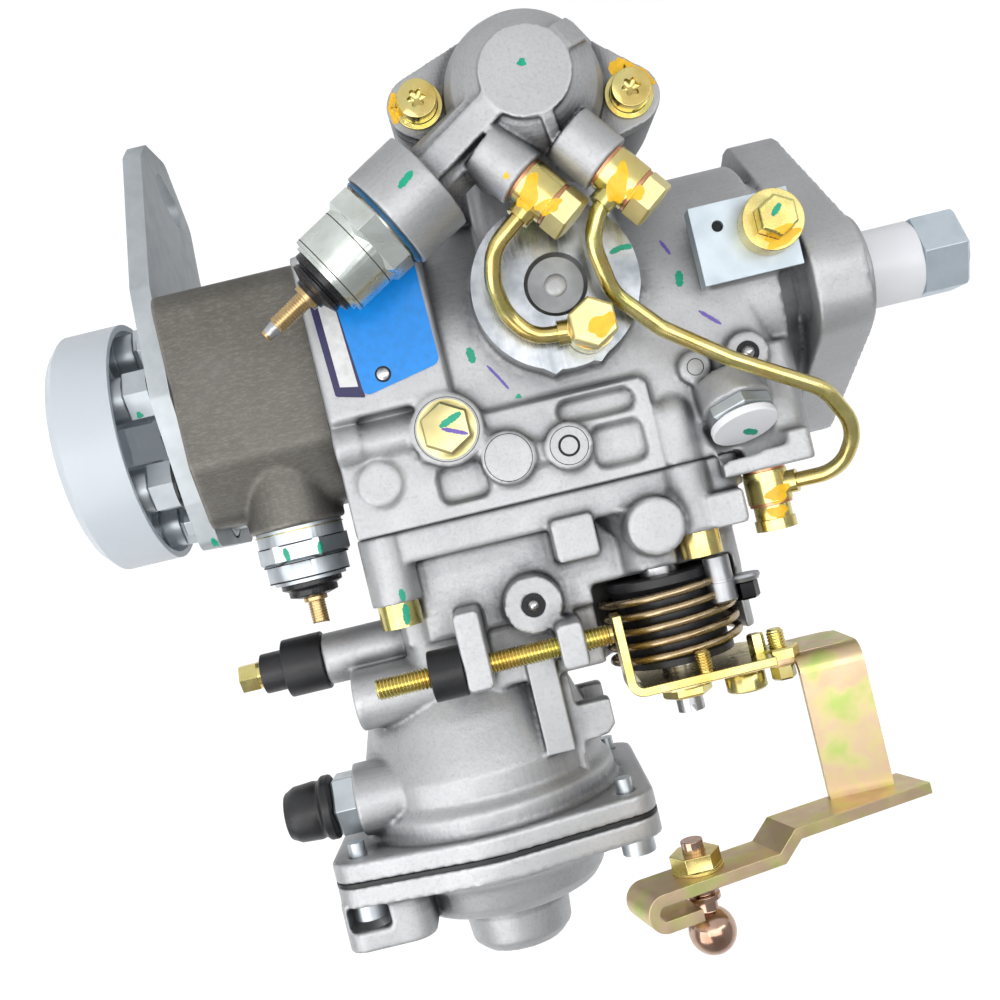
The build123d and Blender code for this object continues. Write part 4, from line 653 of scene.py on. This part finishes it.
def markOpenness(pieces):
    cell, margin = crowding["cell"] * mm, crowding["margin"] * mm
    low = numpy.array([v - margin for v in cadLow])
    high = numpy.array([v + margin for v in cadHigh])
    shape = tuple(int(v) for v in (high - low) / cell + 2)
    grid = numpy.zeros(shape, dtype=numpy.float32)
    for piece in pieces:
        spots = ((meshArray(piece, "place") - low) / cell).astype(int)
        grid[tuple(spots.T)] = 1.0
    counts = [(boxSum(grid, reach["half"]), reach) for reach in crowding["reaches"]]
    for piece in pieces:
        place, normal = meshArray(piece, "place"), meshArray(piece, "normal")
        closed = 0.0
        for count, reach in counts:
            spots = ((place + normal * reach["step"] * mm - low) / cell).astype(int)
            spots = numpy.clip(spots, 0, numpy.array(shape) - 1)
            closed = closed + numpy.clip(count[tuple(spots.T)] / reach["full"], 0, 1) / len(counts)
        layer = piece.data.attributes.new("openness", "FLOAT", "POINT")
        layer.data.foreach_set("value", (1.0 - closed).astype(numpy.float32))


markOpenness(castShapes)
print("castings shaded:", len(castShapes))


# Turned, pressed and screwed pieces keep the frame's shape, with broken edges

front = (0, -1, 0)       # towards the side with the pipes
up = (0, 0, 1)
rear = (1, 0, 0)         # towards the outlets
speedScrew = (-46, 87.9)     # axis of the speed screw, in y and z
dressed = {
    "support_bracket": {"finish": "satin", "edge": 0.7},
    "cover_screws": {"finish": "gold"},
    "delivery_valve_holders": {"finish": "zinc"},
    "head_plug": {"finish": "black"},
    "delivery_cap": {"finish": "cap", "edge": 0.5},
    "boost_cover_screws": {"finish": "zinc"},
    "boost_fitting": {"finish": "zinc"},
    "boost_fitting_cap": {"finish": "rubber", "edge": 0.4},
    "small_screws": {"finish": "gold", "beyond": {"level": 190.0, "finish": "zinc"}},
    "cold_start_solenoid": {"finish": "canister", "edge": 0.4},
    "terminal_insulators": {"finish": "black"},
    "terminal_studs": {"finish": "stud"},
    "stop_solenoid": {"finish": "zinc", "edge": 0.4},
    "timer_pipe": {"finish": "gold"},
    "overflow_pipe": {"finish": "gold"},
    "banjo_bolts": {"finish": "pale"},
    "copper_washers": {"finish": "copper", "edge": 0.15},
    "overflow_valve": {"finish": "gold"},
    "inlet_fitting": {"finish": "zinc"},
    "inlet_cap": {"finish": "sleeve", "edge": 0.5},
    "access_plug": {"finish": "pale", "edge": 0},
    "stop_screws": {
        "finish": "gold", "slim": {"place": (90, *speedScrew), "way": rear, "reach": 3.4, "radius": 2.6},
    },
    "boost_diaphragm": {"finish": "rubber", "edge": 0.15},
    "tamper_collars": {"finish": "rubber", "edge": 0.4},
    "shaft_nut": {"finish": "nut", "edge": 0.6},
    "shaft_sleeve": {"finish": "sleeve", "edge": 0.5},
    "drive_shaft": {"finish": "steel"},
    "shaft_lock_plate": {"finish": "sheet", "edge": 0.4},
    "shaft_lock_bolt": {"finish": "gold"},
    "throttle_boot": {"finish": "rubber"},
    "throttle_shaft": {"finish": "steel"},
    "throttle_bracket": {"finish": "gold", "edge": 0.4},
    "throttle_arm": {"finish": "rainbow", "edge": 0.5},
    "lever_arm": {"finish": "rainbow", "edge": 0.5},
    "ball_stud": {"finish": "ball"},
    "throttle_nuts": {"finish": "gold"},
}
dressing = {"merge": 0.6, "crease": 25, "edge": 0.25, "segments": 2, "edgeAngle": 35}


# Draws a rod in to a smaller radius, so that a thread fits around it
def slimRod(bm, place, way, reach, radius):
    centre, way = Vector(place) * mm, Vector(way)
    for vertex in bm.verts:
        offset = vertex.co - centre
        along = way * offset.dot(way)
        side = offset - along
        if offset.dot(way) > 0 and side.length < reach * mm:
            vertex.co = centre + along + side * (radius * mm / max(side.length, 1e-6))


# The faces beyond a level along X take a second finish
def finishBeyond(piece, level, finish):
    piece.data.materials.append(finishes[finish])
    for face in piece.data.polygons:
        face.material_index = int(face.center.x > level * mm)


def breakEdges(piece, width):
    edge = piece.modifiers.new("broken_edge", "BEVEL")
    edge.width = width * mm
    edge.segments = dressing["segments"]
    edge.limit_method = "ANGLE"
    edge.angle_limit = math.radians(dressing["edgeAngle"])
    edge.harden_normals = True


def dressedPiece(node, values):
    bm = nodeCopy(node)
    if "slim" in values:
        slimRod(bm, **values["slim"])
    width = values.get("edge", dressing["edge"])
    if width:
        flat = math.radians(dressing["merge"])
        bmesh.ops.dissolve_limit(bm, angle_limit=flat, verts=bm.verts, edges=bm.edges)
    body, slot = bodyOf[node], slotOf[node]
    piece = pieceFrom(bm, node + "_piece", values["finish"], body, (node,), dressing["crease"])
    if "beyond" in values:
        finishBeyond(piece, **values["beyond"])
    if width:
        breakEdges(piece, width)


for node, values in dressed.items():
    dressedPiece(node, values)

# What is left lies inside or behind and keeps the frame's own mesh; the spring is wound below
for node, shape in frame["nodes"].items():
    if node not in dressed and node not in castings and node != "throttle_spring":
        shape.data.materials.clear()
        shape.data.materials.append(finishes["steel"])
print("pieces dressed:", len(dressed))


# Small shapes: turned rings, threads, wire, faces cut bright, torx sockets and flat plates

def matrixTo(place, way):
    turn = Vector(way).to_track_quat("Z", "Y").to_matrix().to_4x4()
    return Matrix.Translation(Vector(place) * mm) @ turn


def profileLine(bm, profile):
    dots = [bm.verts.new((r * mm, 0, h * mm)) for r, h in profile]
    return dots + [bm.edges.new(pair) for pair in zip(dots, dots[1:])]


def faceOutward(bm):
    bmesh.ops.recalc_face_normals(bm, faces=bm.faces)


def turnedPiece(name, finish, place, way, profile, body="root", steps=48, crease=38):
    bm = bmesh.new()
    line = profileLine(bm, profile)
    bmesh.ops.spin(bm, geom=line, cent=(0, 0, 0), axis=(0, 0, 1), angle=math.tau, steps=steps, use_merge=True)
    bmesh.ops.remove_doubles(bm, verts=bm.verts, dist=0.001 * mm)
    bm.transform(matrixTo(place, way))
    faceOutward(bm)
    return pieceFrom(bm, name, finish, body, crease=crease)


def threadPiece(name, finish, place, way, radius, depth, pitch, length, body="root", steps=28):
    profile = []
    for k in range(int(length / pitch)):
        profile += [(radius - depth, k * pitch), (radius, (k + 0.4) * pitch), (radius, (k + 0.6) * pitch)]
    profile.append((radius - depth, int(length / pitch) * pitch))
    bm = bmesh.new()
    line = profileLine(bm, profile)
    rise = (0, 0, pitch * mm / steps)
    bmesh.ops.spin(bm, geom=line, cent=(0, 0, 0), axis=(0, 0, 1), dvec=rise, angle=math.tau, steps=steps)
    bmesh.ops.remove_doubles(bm, verts=bm.verts, dist=0.002 * mm)
    faceOutward(bm)
    middle = [face for face in bm.faces if abs(face.normal.z) < 0.5]
    if sum(face.normal.xy.dot(face.calc_center_median().xy) for face in middle) < 0:
        bmesh.ops.reverse_faces(bm, faces=bm.faces)
    bm.transform(matrixTo(place, way))
    return pieceFrom(bm, name, finish, body)


def wirePiece(name, finish, points, radius, stands, sides=12):
    bm = bmesh.new()
    points = [Vector(point) * mm for point in points]
    before = None
    for k, point in enumerate(points):
        way = (points[min(k + 1, len(points) - 1)] - points[max(k - 1, 0)]).normalized()
        side = Vector((0, 0, 1)).cross(way).normalized()
        other = way.cross(side)
        angles = [math.tau * n / sides for n in range(sides)]
        spokes = [side * math.cos(a) + other * math.sin(a) for a in angles]
        ring = [bm.verts.new(point + spoke * radius * mm) for spoke in spokes]
        if before:
            for n in range(sides):
                bm.faces.new((before[n - 1], before[n], ring[n], ring[n - 1]))
        else:
            bm.faces.new(ring)
        before = ring
    bm.faces.new(reversed(before))
    faceOutward(bm)
    return pieceFrom(bm, name, finish, "root", stands, 60)


# Points in a box of (x, z) that stand out of the pad's circle are drawn back to it
def trimToCircle(verts, centre, radius, box, behind):
    for vertex in verts:
        x, z = vertex.co.x / mm, vertex.co.z / mm
        reach = math.hypot(x - centre[0], z - centre[1])
        if box[0] < x < box[1] and box[2] < z < box[3] and vertex.co.y < behind * mm and reach > radius:
            vertex.co.x = (centre[0] + (x - centre[0]) * radius / reach) * mm
            vertex.co.z = (centre[1] + (z - centre[1]) * radius / reach) * mm


padTrim = {"centre": (85.3, -10.0), "radius": 23.3, "box": (58, 67, -14, 1), "behind": -42.6}


# A node's flat face at a level along its way, lifted off as a thin bright sheet
def brightFace(name, node, finish, way, level, depth=0.5, lift=0.06, near=0.03):
    bm = nodeCopy(node)
    way = Vector(way)
    others = []
    for face in bm.faces:
        off = abs(face.calc_center_median().dot(way) - level * mm)
        if face.normal.dot(way) <= 0.999 or off >= near * mm:
            others.append(face)
    bmesh.ops.delete(bm, geom=others, context="FACES")
    back = bmesh.ops.extrude_face_region(bm, geom=bm.faces[:])
    moved = [item for item in back["geom"] if isinstance(item, bmesh.types.BMVert)]
    bmesh.ops.translate(bm, verts=bm.verts[:], vec=way * lift * mm)
    bmesh.ops.translate(bm, verts=moved, vec=-way * depth * mm)
    trimToCircle(bm.verts, **padTrim)
    faceOutward(bm)
    return pieceFrom(bm, name, finish, bodyOf[node])


def platePiece(name, finish, outline, level, thickness, corner=0.0):
    bm = bmesh.new()
    flat = bm.faces.new([bm.verts.new((x * mm, level * mm, z * mm)) for x, z in outline])
    if corner:
        bmesh.ops.bevel(
            bm, geom=flat.verts[:], offset=corner * mm, segments=5, profile=0.5,
            affect="VERTICES", material=-1,
        )
    grown = bmesh.ops.extrude_face_region(bm, geom=bm.faces[:])
    moved = [item for item in grown["geom"] if isinstance(item, bmesh.types.BMVert)]
    bmesh.ops.translate(bm, verts=moved, vec=(0, thickness * mm, 0))
    faceOutward(bm)
    return pieceFrom(bm, name, finish, "root")


torx = {
    "steps": 72, "lobes": 6, "outer": 3.3, "middle": 2.25, "wave": 0.42, "depth": 1.9,
    "tip": 0.9, "bottom": 2.5,
}


def torxSocket(name, place, way):
    bm = bmesh.new()
    steps = torx["steps"]
    angles = [math.tau * n / steps for n in range(steps)]
    star = [torx["middle"] + torx["wave"] * math.cos(torx["lobes"] * a) for a in angles]
    rim, tip = [torx["outer"]] * steps, [torx["tip"]] * steps
    rings = []
    for radii, height in ((rim, 0.0), (star, 0.0), (star, -torx["depth"]), (tip, -torx["bottom"])):
        dots = [(r * math.cos(a) * mm, r * math.sin(a) * mm, height * mm) for r, a in zip(radii, angles)]
        rings.append([bm.verts.new(dot) for dot in dots])
    for first, second in zip(rings, rings[1:]):
        for n in range(steps):
            bm.faces.new((first[n - 1], first[n], second[n], second[n - 1]))
    bm.faces.new(rings[-1])
    bm.transform(matrixTo(place, way))
    bm.normal_update()
    bm.faces.ensure_lookup_table()
    if bm.faces[0].normal.dot(Vector(way)) < 0:
        bmesh.ops.reverse_faces(bm, faces=bm.faces[:])
    return pieceFrom(bm, name, "gold", "root")


# Bright faces left by the cutter, the recess in the pipe pad and the plate beside it

recess = {"place": (85.3, -53.5, -10.0), "way": front}
rivet = {"place": (137.6, -47.0, 2.1), "way": front, "steps": 28}
lockHole = {"place": (38.0, -50.06, -15.5), "radius": 1.7}
plates = {
    "name_plate": {
        "finish": "blue", "level": -47.0, "thickness": 0.5, "corner": 2.0,
        "outline": ((122.0, -31.0), (121.3, 2.6), (144.0, 7.1), (147.0, -31.0)),
    },
    "label_band": {
        "finish": "navy", "level": -46.85, "thickness": 0.35, "corner": 0.6,
        "outline": ((143.9, 7.3), (152.0, 5.2), (153.6, -30.0), (146.0, -30.0)),
    },
    "label_sheet": {
        "finish": "paper", "level": -46.9, "thickness": 0.3,
        "outline": ((145.2, 3.9), (150.2, 2.9), (151.4, -30.0), (147.0, -30.0)),
    },
}

trimToCircle(made["pump_housing_casting"].data.vertices, **padTrim)
brightFace("pipe_pad_face", "pump_housing", "machined", front, -recess["place"][1])
turnedPiece("recess_ring", "recess", crease=12, **recess, profile=(
    (8.8, 0.08), (8.4, -0.5), (7.7, -1.3), (1.7, -1.5), (1.5, -1.75), (0, -1.75),
))
turnedPiece("recess_dot", "machined", **recess, profile=((1.3, -1.75), (1.2, -1.55), (0, -1.5)))
for name, values in plates.items():
    platePiece(name, **values)
turnedPiece("plate_rivet", "pin", **rivet, profile=((1.9, -0.1), (1.7, 0.45), (1.0, 0.8), (0, 0.9)))
# A flat dark disc on the lock plate: painted shadow standing for its hole
holeShadowDisc = ((lockHole["radius"], 0), (0, 0))
turnedPiece("lock_plate_hole_shadow", "shadow", lockHole["place"], front, holeShadowDisc, steps=24)
# A dark ring round the rivet: painted shadow at its edge
turnedPiece("rivet_edge_shadow", "shadow", **rivet, profile=((2.3, -0.2), (2.3, 0.06), (1.8, 0.06)))
print("bright faces and plates made")


# Ring grooves drawn as thin dark rings of painted shadow, and ball plugs on the castings

# Each groove is a thin dark ring of painted shadow, lifted just off the surface
groove = {"lift": 0.06, "depth": 0.3}
ballPlugs = {
    "side_ball_plug": {"place": (111.7, -42.0, 75.3), "ring": 3.4, "ball": 1.7},
    "front_ball_plug": {"place": (36.7, -46.0, 19.9), "ring": 3.3, "ball": 2.0},
}
boss = (91.6, -47.0, 33.7)
# Dark rings of painted shadow where the bosses have grooves
bossGrooveShadows = {
    "boss_groove": {"place": boss, "inner": 2.4, "outer": 3.1},
    "boss_rim_groove": {"place": boss, "inner": 5.3, "outer": 5.5},
    "small_boss_groove": {"place": (51.8, -45.0, 20.4), "inner": 2.2, "outer": 2.45},
    "disc_boss_groove": {"place": (108.9, -47.0, 33.0), "inner": 6.6, "outer": 6.8},
    "plug_boss_groove": {"place": (123.8, -47.0, 21.3), "inner": 9.0, "outer": 9.2},
}


# A thin dark ring of painted shadow where a groove is
def ringGrooveShadow(name, place, inner, outer):
    top, foot = groove["lift"], groove["lift"] - groove["depth"]
    turnedPiece(name, "shadow", place, front, ((inner, foot), (inner, top), (outer, top), (outer, foot)))


def ballPlug(name, place, ring, ball):
    # a dark ring of painted shadow round the ball
    ringGrooveShadow(name + "_edge", place, ball, ring)
    angles = [math.radians(a) for a in range(0, 91, 10)]
    dome = [(ball * math.cos(a), 0.9 * ball * math.sin(a)) for a in angles]
    turnedPiece(name + "_ball", "steel", place, front, dome, crease=80)


for name, values in ballPlugs.items():
    ballPlug(name, **values)
for name, values in bossGrooveShadows.items():
    ringGrooveShadow(name, **values)
print("plugs made")


# Threads and studs, and the rings of the two solenoids, with dark bands of painted shadow in their grooves

arm = {"start": Vector((82.8, -66.5, -59.5)), "way": Vector((0.864, 0.0, 0.504)).normalized()}
stopSolenoid = {"x": 175, "y": -21, "thread": 58}


def alongArm(distance):
    return arm["start"] + arm["way"] * distance


threads = {
    "speed_screw_thread": {
        "finish": "gold", "place": (92.4, *speedScrew), "way": rear,
        "radius": 3.05, "depth": 0.45, "pitch": 1.0, "length": 67,
    },
    "cold_stud_thread": {
        "finish": "stud", "place": alongArm(76.6), "way": arm["way"],
        "radius": 2.62, "depth": 0.3, "pitch": 0.8, "length": 13,
    },
    "stop_stud_thread": {
        "finish": "stud", "place": (stopSolenoid["x"], stopSolenoid["y"], stopSolenoid["thread"]), "way": up,
        "radius": 2.62, "depth": 0.3, "pitch": 0.8, "length": 9,
    },
}
armPieces = {
    "cold_stud_tip": {
        "finish": "pin", "along": 89.5,
        "profile": ((2.0, 0), (2.1, 0.4), (1.7, 3.6), (1.2, 4.4), (0, 4.5)),
    },
    "arm_gold_ring": {
        "finish": "rainbow", "along": 50,
        "profile": ((11.0, 0), (13.2, 0), (13.4, 0.5), (13.2, 1.2), (11.4, 1.4), (11.0, 1.4)),
    },
    "arm_blue_ring": {
        "finish": "teal", "along": 50, "profile": ((12.9, 0.9), (13.5, 0.2), (13.7, 0.8), (13.2, 1.4)),
    },
}
# Canister grooves: thin dark bands of painted shadow
canisterGrooveShadows = {"depth": 0.4, "heights": (0, 0.02, 0.3, 0.32), "places": ((60.0, 12.05), (69.9, 12.05))}
insulatorRims = {"depth": 0.5, "heights": (-0.5, -0.3, 0.3, 0.5), "places": ((73.4, 9.55), (75.2, 8.0))}
# Stop rings: the gold one is a ring, the dark ones are bands of painted shadow in the solenoid's grooves
stopRings = {
    "depth": 1.2, "heights": (0, 0.05, 0.35, 0.4),
    "places": (
        (42.0, 13.05, "shadow"), (47.6, 12.9, "shadow"), (38.4, 13.4, "gold"), (52.6, 12.25, "shadow"),
    ),
}


def bandPiece(name, finish, place, way, radius, values):
    foot, low, high, top = values["heights"]
    inner = radius - values["depth"]
    turnedPiece(name, finish, place, way, ((inner, foot), (radius, low), (radius, high), (inner, top)))


for name, values in threads.items():
    threadPiece(name, **values)
for name, values in armPieces.items():
    turnedPiece(name, values["finish"], alongArm(values["along"]), arm["way"], values["profile"])
for distance, radius in canisterGrooveShadows["places"]:
    name = "canister_groove_%d" % distance
    bandPiece(name, "shadow", alongArm(distance), arm["way"], radius, canisterGrooveShadows)
for distance, radius in insulatorRims["places"]:
    name = "insulator_rim_%d" % distance
    bandPiece(name, "black", alongArm(distance), arm["way"], radius, insulatorRims)
for height, radius, finish in stopRings["places"]:
    name, place = "stop_ring_%d" % height, (stopSolenoid["x"], stopSolenoid["y"], height)
    bandPiece(name, finish, place, up, radius, stopRings)
print("threads made")


# Delivery valve holders: black transport plug and ring grooves on each

outlets = {"count": 6, "circle": 27.7, "phase": 36.4, "neckX": 214.5, "sealX": 205.1, "steps": 36}
holderNeck = (
    (5.0, 0), (6.7, 0), (6.9, 0.4), (6.9, 5.4), (6.5, 5.8),
    (6.1, 5.9), (6.1, 6.4), (6.6, 6.5), (6.6, 9.2), (5.6, 9.4),
)
holderSeal = ((7.0, 0), (8.5, 0), (8.7, 0.4), (8.5, 1.3), (7.0, 1.3))
for k in range(outlets["count"]):
    angle = math.radians(180 - outlets["phase"] - 360 / outlets["count"] * k)
    y, z = outlets["circle"] * math.cos(angle), outlets["circle"] * math.sin(angle)
    neck, seal = (outlets["neckX"], y, z), (outlets["sealX"], y, z)
    turnedPiece("holder_neck_%d" % k, "zinc", neck, rear, holderNeck, steps=outlets["steps"])
    turnedPiece("holder_seal_%d" % k, "black", seal, rear, holderSeal, steps=outlets["steps"])
print("holders made:", outlets["count"])


# Return spring, and the bolts beside the lever

spring = {
    "centre": (73.0, -27.0), "radius": 19.0, "wire": 1.22, "bottom": 77.5, "pitch": 4.2,
    "start": 0.25, "end": 5.3, "steps": 40,
}


def springPoint(n):
    turn = math.tau * n / spring["steps"]
    x = spring["centre"][0] + spring["radius"] * math.cos(turn)
    y = spring["centre"][1] + spring["radius"] * math.sin(turn)
    return x, y, spring["bottom"] + spring["pitch"] * n / spring["steps"]


firstStep, lastStep = (int(spring[key] * spring["steps"]) for key in ("start", "end"))
wire = [springPoint(n) for n in range(firstStep, lastStep + 1)]
wirePiece("return_spring", "bronze", wire, spring["wire"], ("throttle_spring",))

hexagon = {"steps": 6, "crease": 25}
armScrew = (46.6, -40.0)         # axes, in x and y
bracketScrew = (69.4, -49.4)
besideLever = {
    "stop_pin": {
        "finish": "pin", "place": (58.2, -40.5, 74.0),
        "profile": (
            (0, 0), (3.8, 0), (3.8, 6.8), (3.5, 6.9), (3.5, 7.2),
            (4.0, 7.3), (4.0, 12.6), (3.5, 13.2), (0, 13.2),
        ),
    },
    "side_washer": {
        "finish": "pin", "place": (51.2, -38.5, 80.8),
        "profile": ((0, 0), (4.6, 0), (4.8, 0.8), (4.2, 2.0), (0, 2.0)),
    },
    "side_bolt": {
        "finish": "blued", "place": (51.4, -38.5, 82.8), **hexagon,
        "profile": ((3.6, 0), (3.9, 0.5), (3.9, 4.6), (3.3, 5.2), (0, 5.2)),
    },
}
onLever = {
    "shaft_washer": {
        "place": (73.0, -27.0, 108.7),
        "profile": ((4.0, 0), (8.8, 0), (9.0, 0.4), (8.8, 1.5), (7.4, 1.7), (4.0, 1.7)),
    },
    "clamp_head": {
        "place": (57.0, -36.0, 108.8),
        "profile": ((2.0, 0), (5.6, 0), (5.9, 0.5), (5.9, 4.6), (5.4, 5.1), (2.0, 5.1)),
    },
    "arm_screw_thread": {
        "place": (*armScrew, 98.4), "radius": 2.5, "depth": 0.35, "pitch": 0.9, "length": 7.8,
    },
    "arm_screw_core": {
        "place": (*armScrew, 97.9), "profile": ((0, 0), (1.8, 0), (2.2, 0.5), (2.2, 8.3), (0, 8.3)),
    },
    "arm_screw_nut": {
        "place": (*armScrew, 103.2), **hexagon,
        "profile": ((2.0, 0), (5.4, 0), (5.8, 0.5), (5.8, 3.0), (2.0, 3.0)),
    },
    "arm_screw_head": {
        "place": (*armScrew, 108.7), **hexagon,
        "profile": ((0, 0), (3.6, 0), (3.6, 3.2), (3.0, 3.8), (0, 3.8)),
    },
    "bracket_screw_thread": {
        "place": (*bracketScrew, 98.2), "radius": 2.2, "depth": 0.3, "pitch": 0.8, "length": 5.6,
    },
    "bracket_screw_core": {
        "place": (*bracketScrew, 97.8), "profile": ((0, 0), (1.6, 0), (1.95, 0.4), (1.95, 6.2), (0, 6.2)),
    },
    "bracket_tab": {
        "place": (52.2, -39.4, 98.0), **hexagon,
        "profile": ((0, 0), (2.3, 0.2), (2.5, 1.0), (2.5, 5.9), (0, 5.9)),
    },
}
torxPlaces = {"low": (110.7, -68.72, -63.3), "high": (55.4, -68.72, -53.1)}
for name, values in besideLever.items():
    turnedPiece(name, way=up, **values)
for name, values in onLever.items():
    makePiece = threadPiece if "pitch" in values else turnedPiece
    makePiece(name, "gold", way=up, body="throttle_lever", **values)
for name, place in torxPlaces.items():
    torxSocket("torx_socket_" + name, place, front)
print("spring wound, small bolts made:", len(besideLever) + len(onLever))


# Paint: strokes and drops laid on the finished surfaces, looking along +Y

# A climb is the greatest step in depth that one patch of paint may bridge
paint = {"from": -140.0, "lift": 0.07, "crease": 80}
brush = {"across": 6, "spacing": 0.35, "climb": 1.2, "wide": 3, "wideClimb": 7.0}
drop = {"rings": 8, "spokes": 32, "wobble": 0.16, "climb": 2.4}


def surfaceTree():
    places, faces = [], []
    for piece in made.values():
        base = len(places)
        places += [vertex.co for vertex in piece.data.vertices]
        faces += [[base + v for v in face.vertices] for face in piece.data.polygons]
    return BVHTree.FromPolygons(places, faces)


surface = surfaceTree()


def onSurface(x, z):
    place = surface.ray_cast(Vector((x * mm, paint["from"] * mm, z * mm)), Vector((0, 1, 0)))[0]
    return place.y / mm if place is not None else None


def paintSheet(name, finish, rows, climb):
    bm = bmesh.new()
    dots = []
    for row in rows:
        line = []
        for x, z in row:
            y = onSurface(x, z)
            line.append(None if y is None else bm.verts.new((x * mm, (y - paint["lift"]) * mm, z * mm)))
        dots.append(line)
    for first, second in zip(dots, dots[1:]):
        for n in range(len(first) - 1):
            corners = (first[n], first[n + 1], second[n + 1], second[n])
            if None in corners:
                continue
            depths = [corner.co.y for corner in corners]
            if max(depths) - min(depths) < climb * mm:
                bm.faces.new(corners)
    loose = [vertex for vertex in bm.verts if not vertex.link_faces]
    bmesh.ops.delete(bm, geom=loose, context="VERTS")
    bmesh.ops.remove_doubles(bm, verts=bm.verts, dist=0.001 * mm)
    faceOutward(bm)
    if sum(face.normal.y for face in bm.faces) > 0:
        bmesh.ops.reverse_faces(bm, faces=bm.faces)
    if bm.faces:
        pieceFrom(bm, name, finish, "root", crease=paint["crease"])


def paintStroke(name, finish, points, width):
    rows = []
    across = brush["across"]
    points = [Vector(point) for point in points]
    for first, second in zip(points, points[1:]):
        way = (second - first).normalized()
        side = Vector((-way.y, way.x))
        count = max(3, int((second - first).length / brush["spacing"]))
        for k in range(count + 1):
            middle = first + (second - first) * k / count
            start = k / count if first == points[0] else 1.0
            end = 1 - k / count if second == points[-1] else 1.0
            wave = 1 + 0.10 * math.sin(2.1 * k) + 0.07 * math.sin(5.3 * k)
            wave *= min(1.0, 0.45 + 2.5 * min(start, end))
            shares = [n / across - 0.5 for n in range(across + 1)]
            rows.append([tuple(middle + side * width * wave * share) for share in shares])
    paintSheet(name, finish, rows, brush["wideClimb"] if width > brush["wide"] else brush["climb"])


def paintDrop(name, finish, centre, size, turn):
    rows = []
    rings, spokes, wobble = drop["rings"], drop["spokes"], drop["wobble"]
    cosine, sine = math.cos(math.radians(turn)), math.sin(math.radians(turn))
    for ring in range(rings + 1):
        row = []
        for n in range(spokes + 1):
            angle = math.tau * n / spokes
            edge = 1 + wobble * math.sin(3 * angle + size[0]) + 0.6 * wobble * math.sin(5 * angle + centre[0])
            along = size[0] * edge * ring / rings * math.cos(angle)
            across = size[1] * edge * ring / rings * math.sin(angle)
            x = centre[0] + along * cosine - across * sine
            row.append((x, centre[1] + along * sine + across * cosine))
        rows.append(row)
    paintSheet(name, finish, rows, drop["climb"])


strokes = {
    "green": (
        (((68.9, -14.8), (65.5, -15.6), (62.3, -15.2)), 1.5),
        (((49.3, -7.6), (50.2, -3.0)), 2.2),
        (((120.4, -38.0), (116.1, -41.4)), 1.8),
        (((112.6, -0.2), (112.3, 4.4)), 2.2),
        (((125.4, 20.7), (118.9, 18.2)), 1.9),
        (((26.3, -12.4), (23.5, -15.1)), 1.6),
        (((147.3, 62.0), (147.2, 65.5)), 1.7),
        (((147.2, 66.4), (147.9, 72.4)), 1.9),
        (((178.5, 43.0), (178.0, 47.0)), 1.6),
        (((168.0, 43.4), (168.6, 47.0)), 1.4),
        (((211.5, -6.0), (210.6, -1.5)), 1.9),
        (((200.6, 35.0), (200.2, 38.6)), 1.6),
        (((43.2, 41.2), (38.6, 42.4)), 1.5),
    ),
    "violet": (
        (((52.0, -17.8), (50.3, -12.9)), 1.0),
        (((46.6, 4.9), (41.2, 10.1)), 1.1),
        (((108.7, 6.0), (106.2, 10.2), (104.2, 13.9)), 0.8),
        (((125.0, 21.3), (118.2, 24.3)), 1.2),
    ),
    "yellow": (
        (((117.4, -60.2), (118.1, -64.6), (116.2, -68.2)), 4.0),
        (((58.8, -60.2), (54.6, -61.6), (49.8, -59.2), (47.4, -54.6)), 4.2),
    ),
}
drops = (
    ("green", (83.1, -61.5), (1.1, 1.0), 0), ("green", (102.0, 16.6), (0.8, 0.7), 0),
    ("yellow", (88.6, -30.2), (4.6, 2.3), 60), ("yellow", (84.6, -25.6), (3.2, 1.8), 0),
    ("yellow", (66.0, -27.2), (4.8, 2.4), 60), ("yellow", (62.3, -23.6), (2.4, 1.7), 0),
    ("yellow", (77.4, 5.8), (4.2, 2.6), 20), ("yellow", (23.6, -7.2), (4.8, 2.2), 10),
    ("yellow", (35.6, 60.9), (3.6, 2.4), 20), ("yellow", (36.5, 66.0), (3.0, 1.8), 0),
    ("yellow", (93.4, -35.2), (0.8, 0.8), 0),
)
for finish, lines in strokes.items():
    for index, (points, width) in enumerate(lines):
        paintStroke("%s_stroke_%d" % (finish, index), finish, points, width)
for index, (finish, centre, size, turn) in enumerate(drops):
    paintDrop("paint_drop_%d" % index, finish, centre, size, turn)
print("paint laid:", len(drops), "drops")
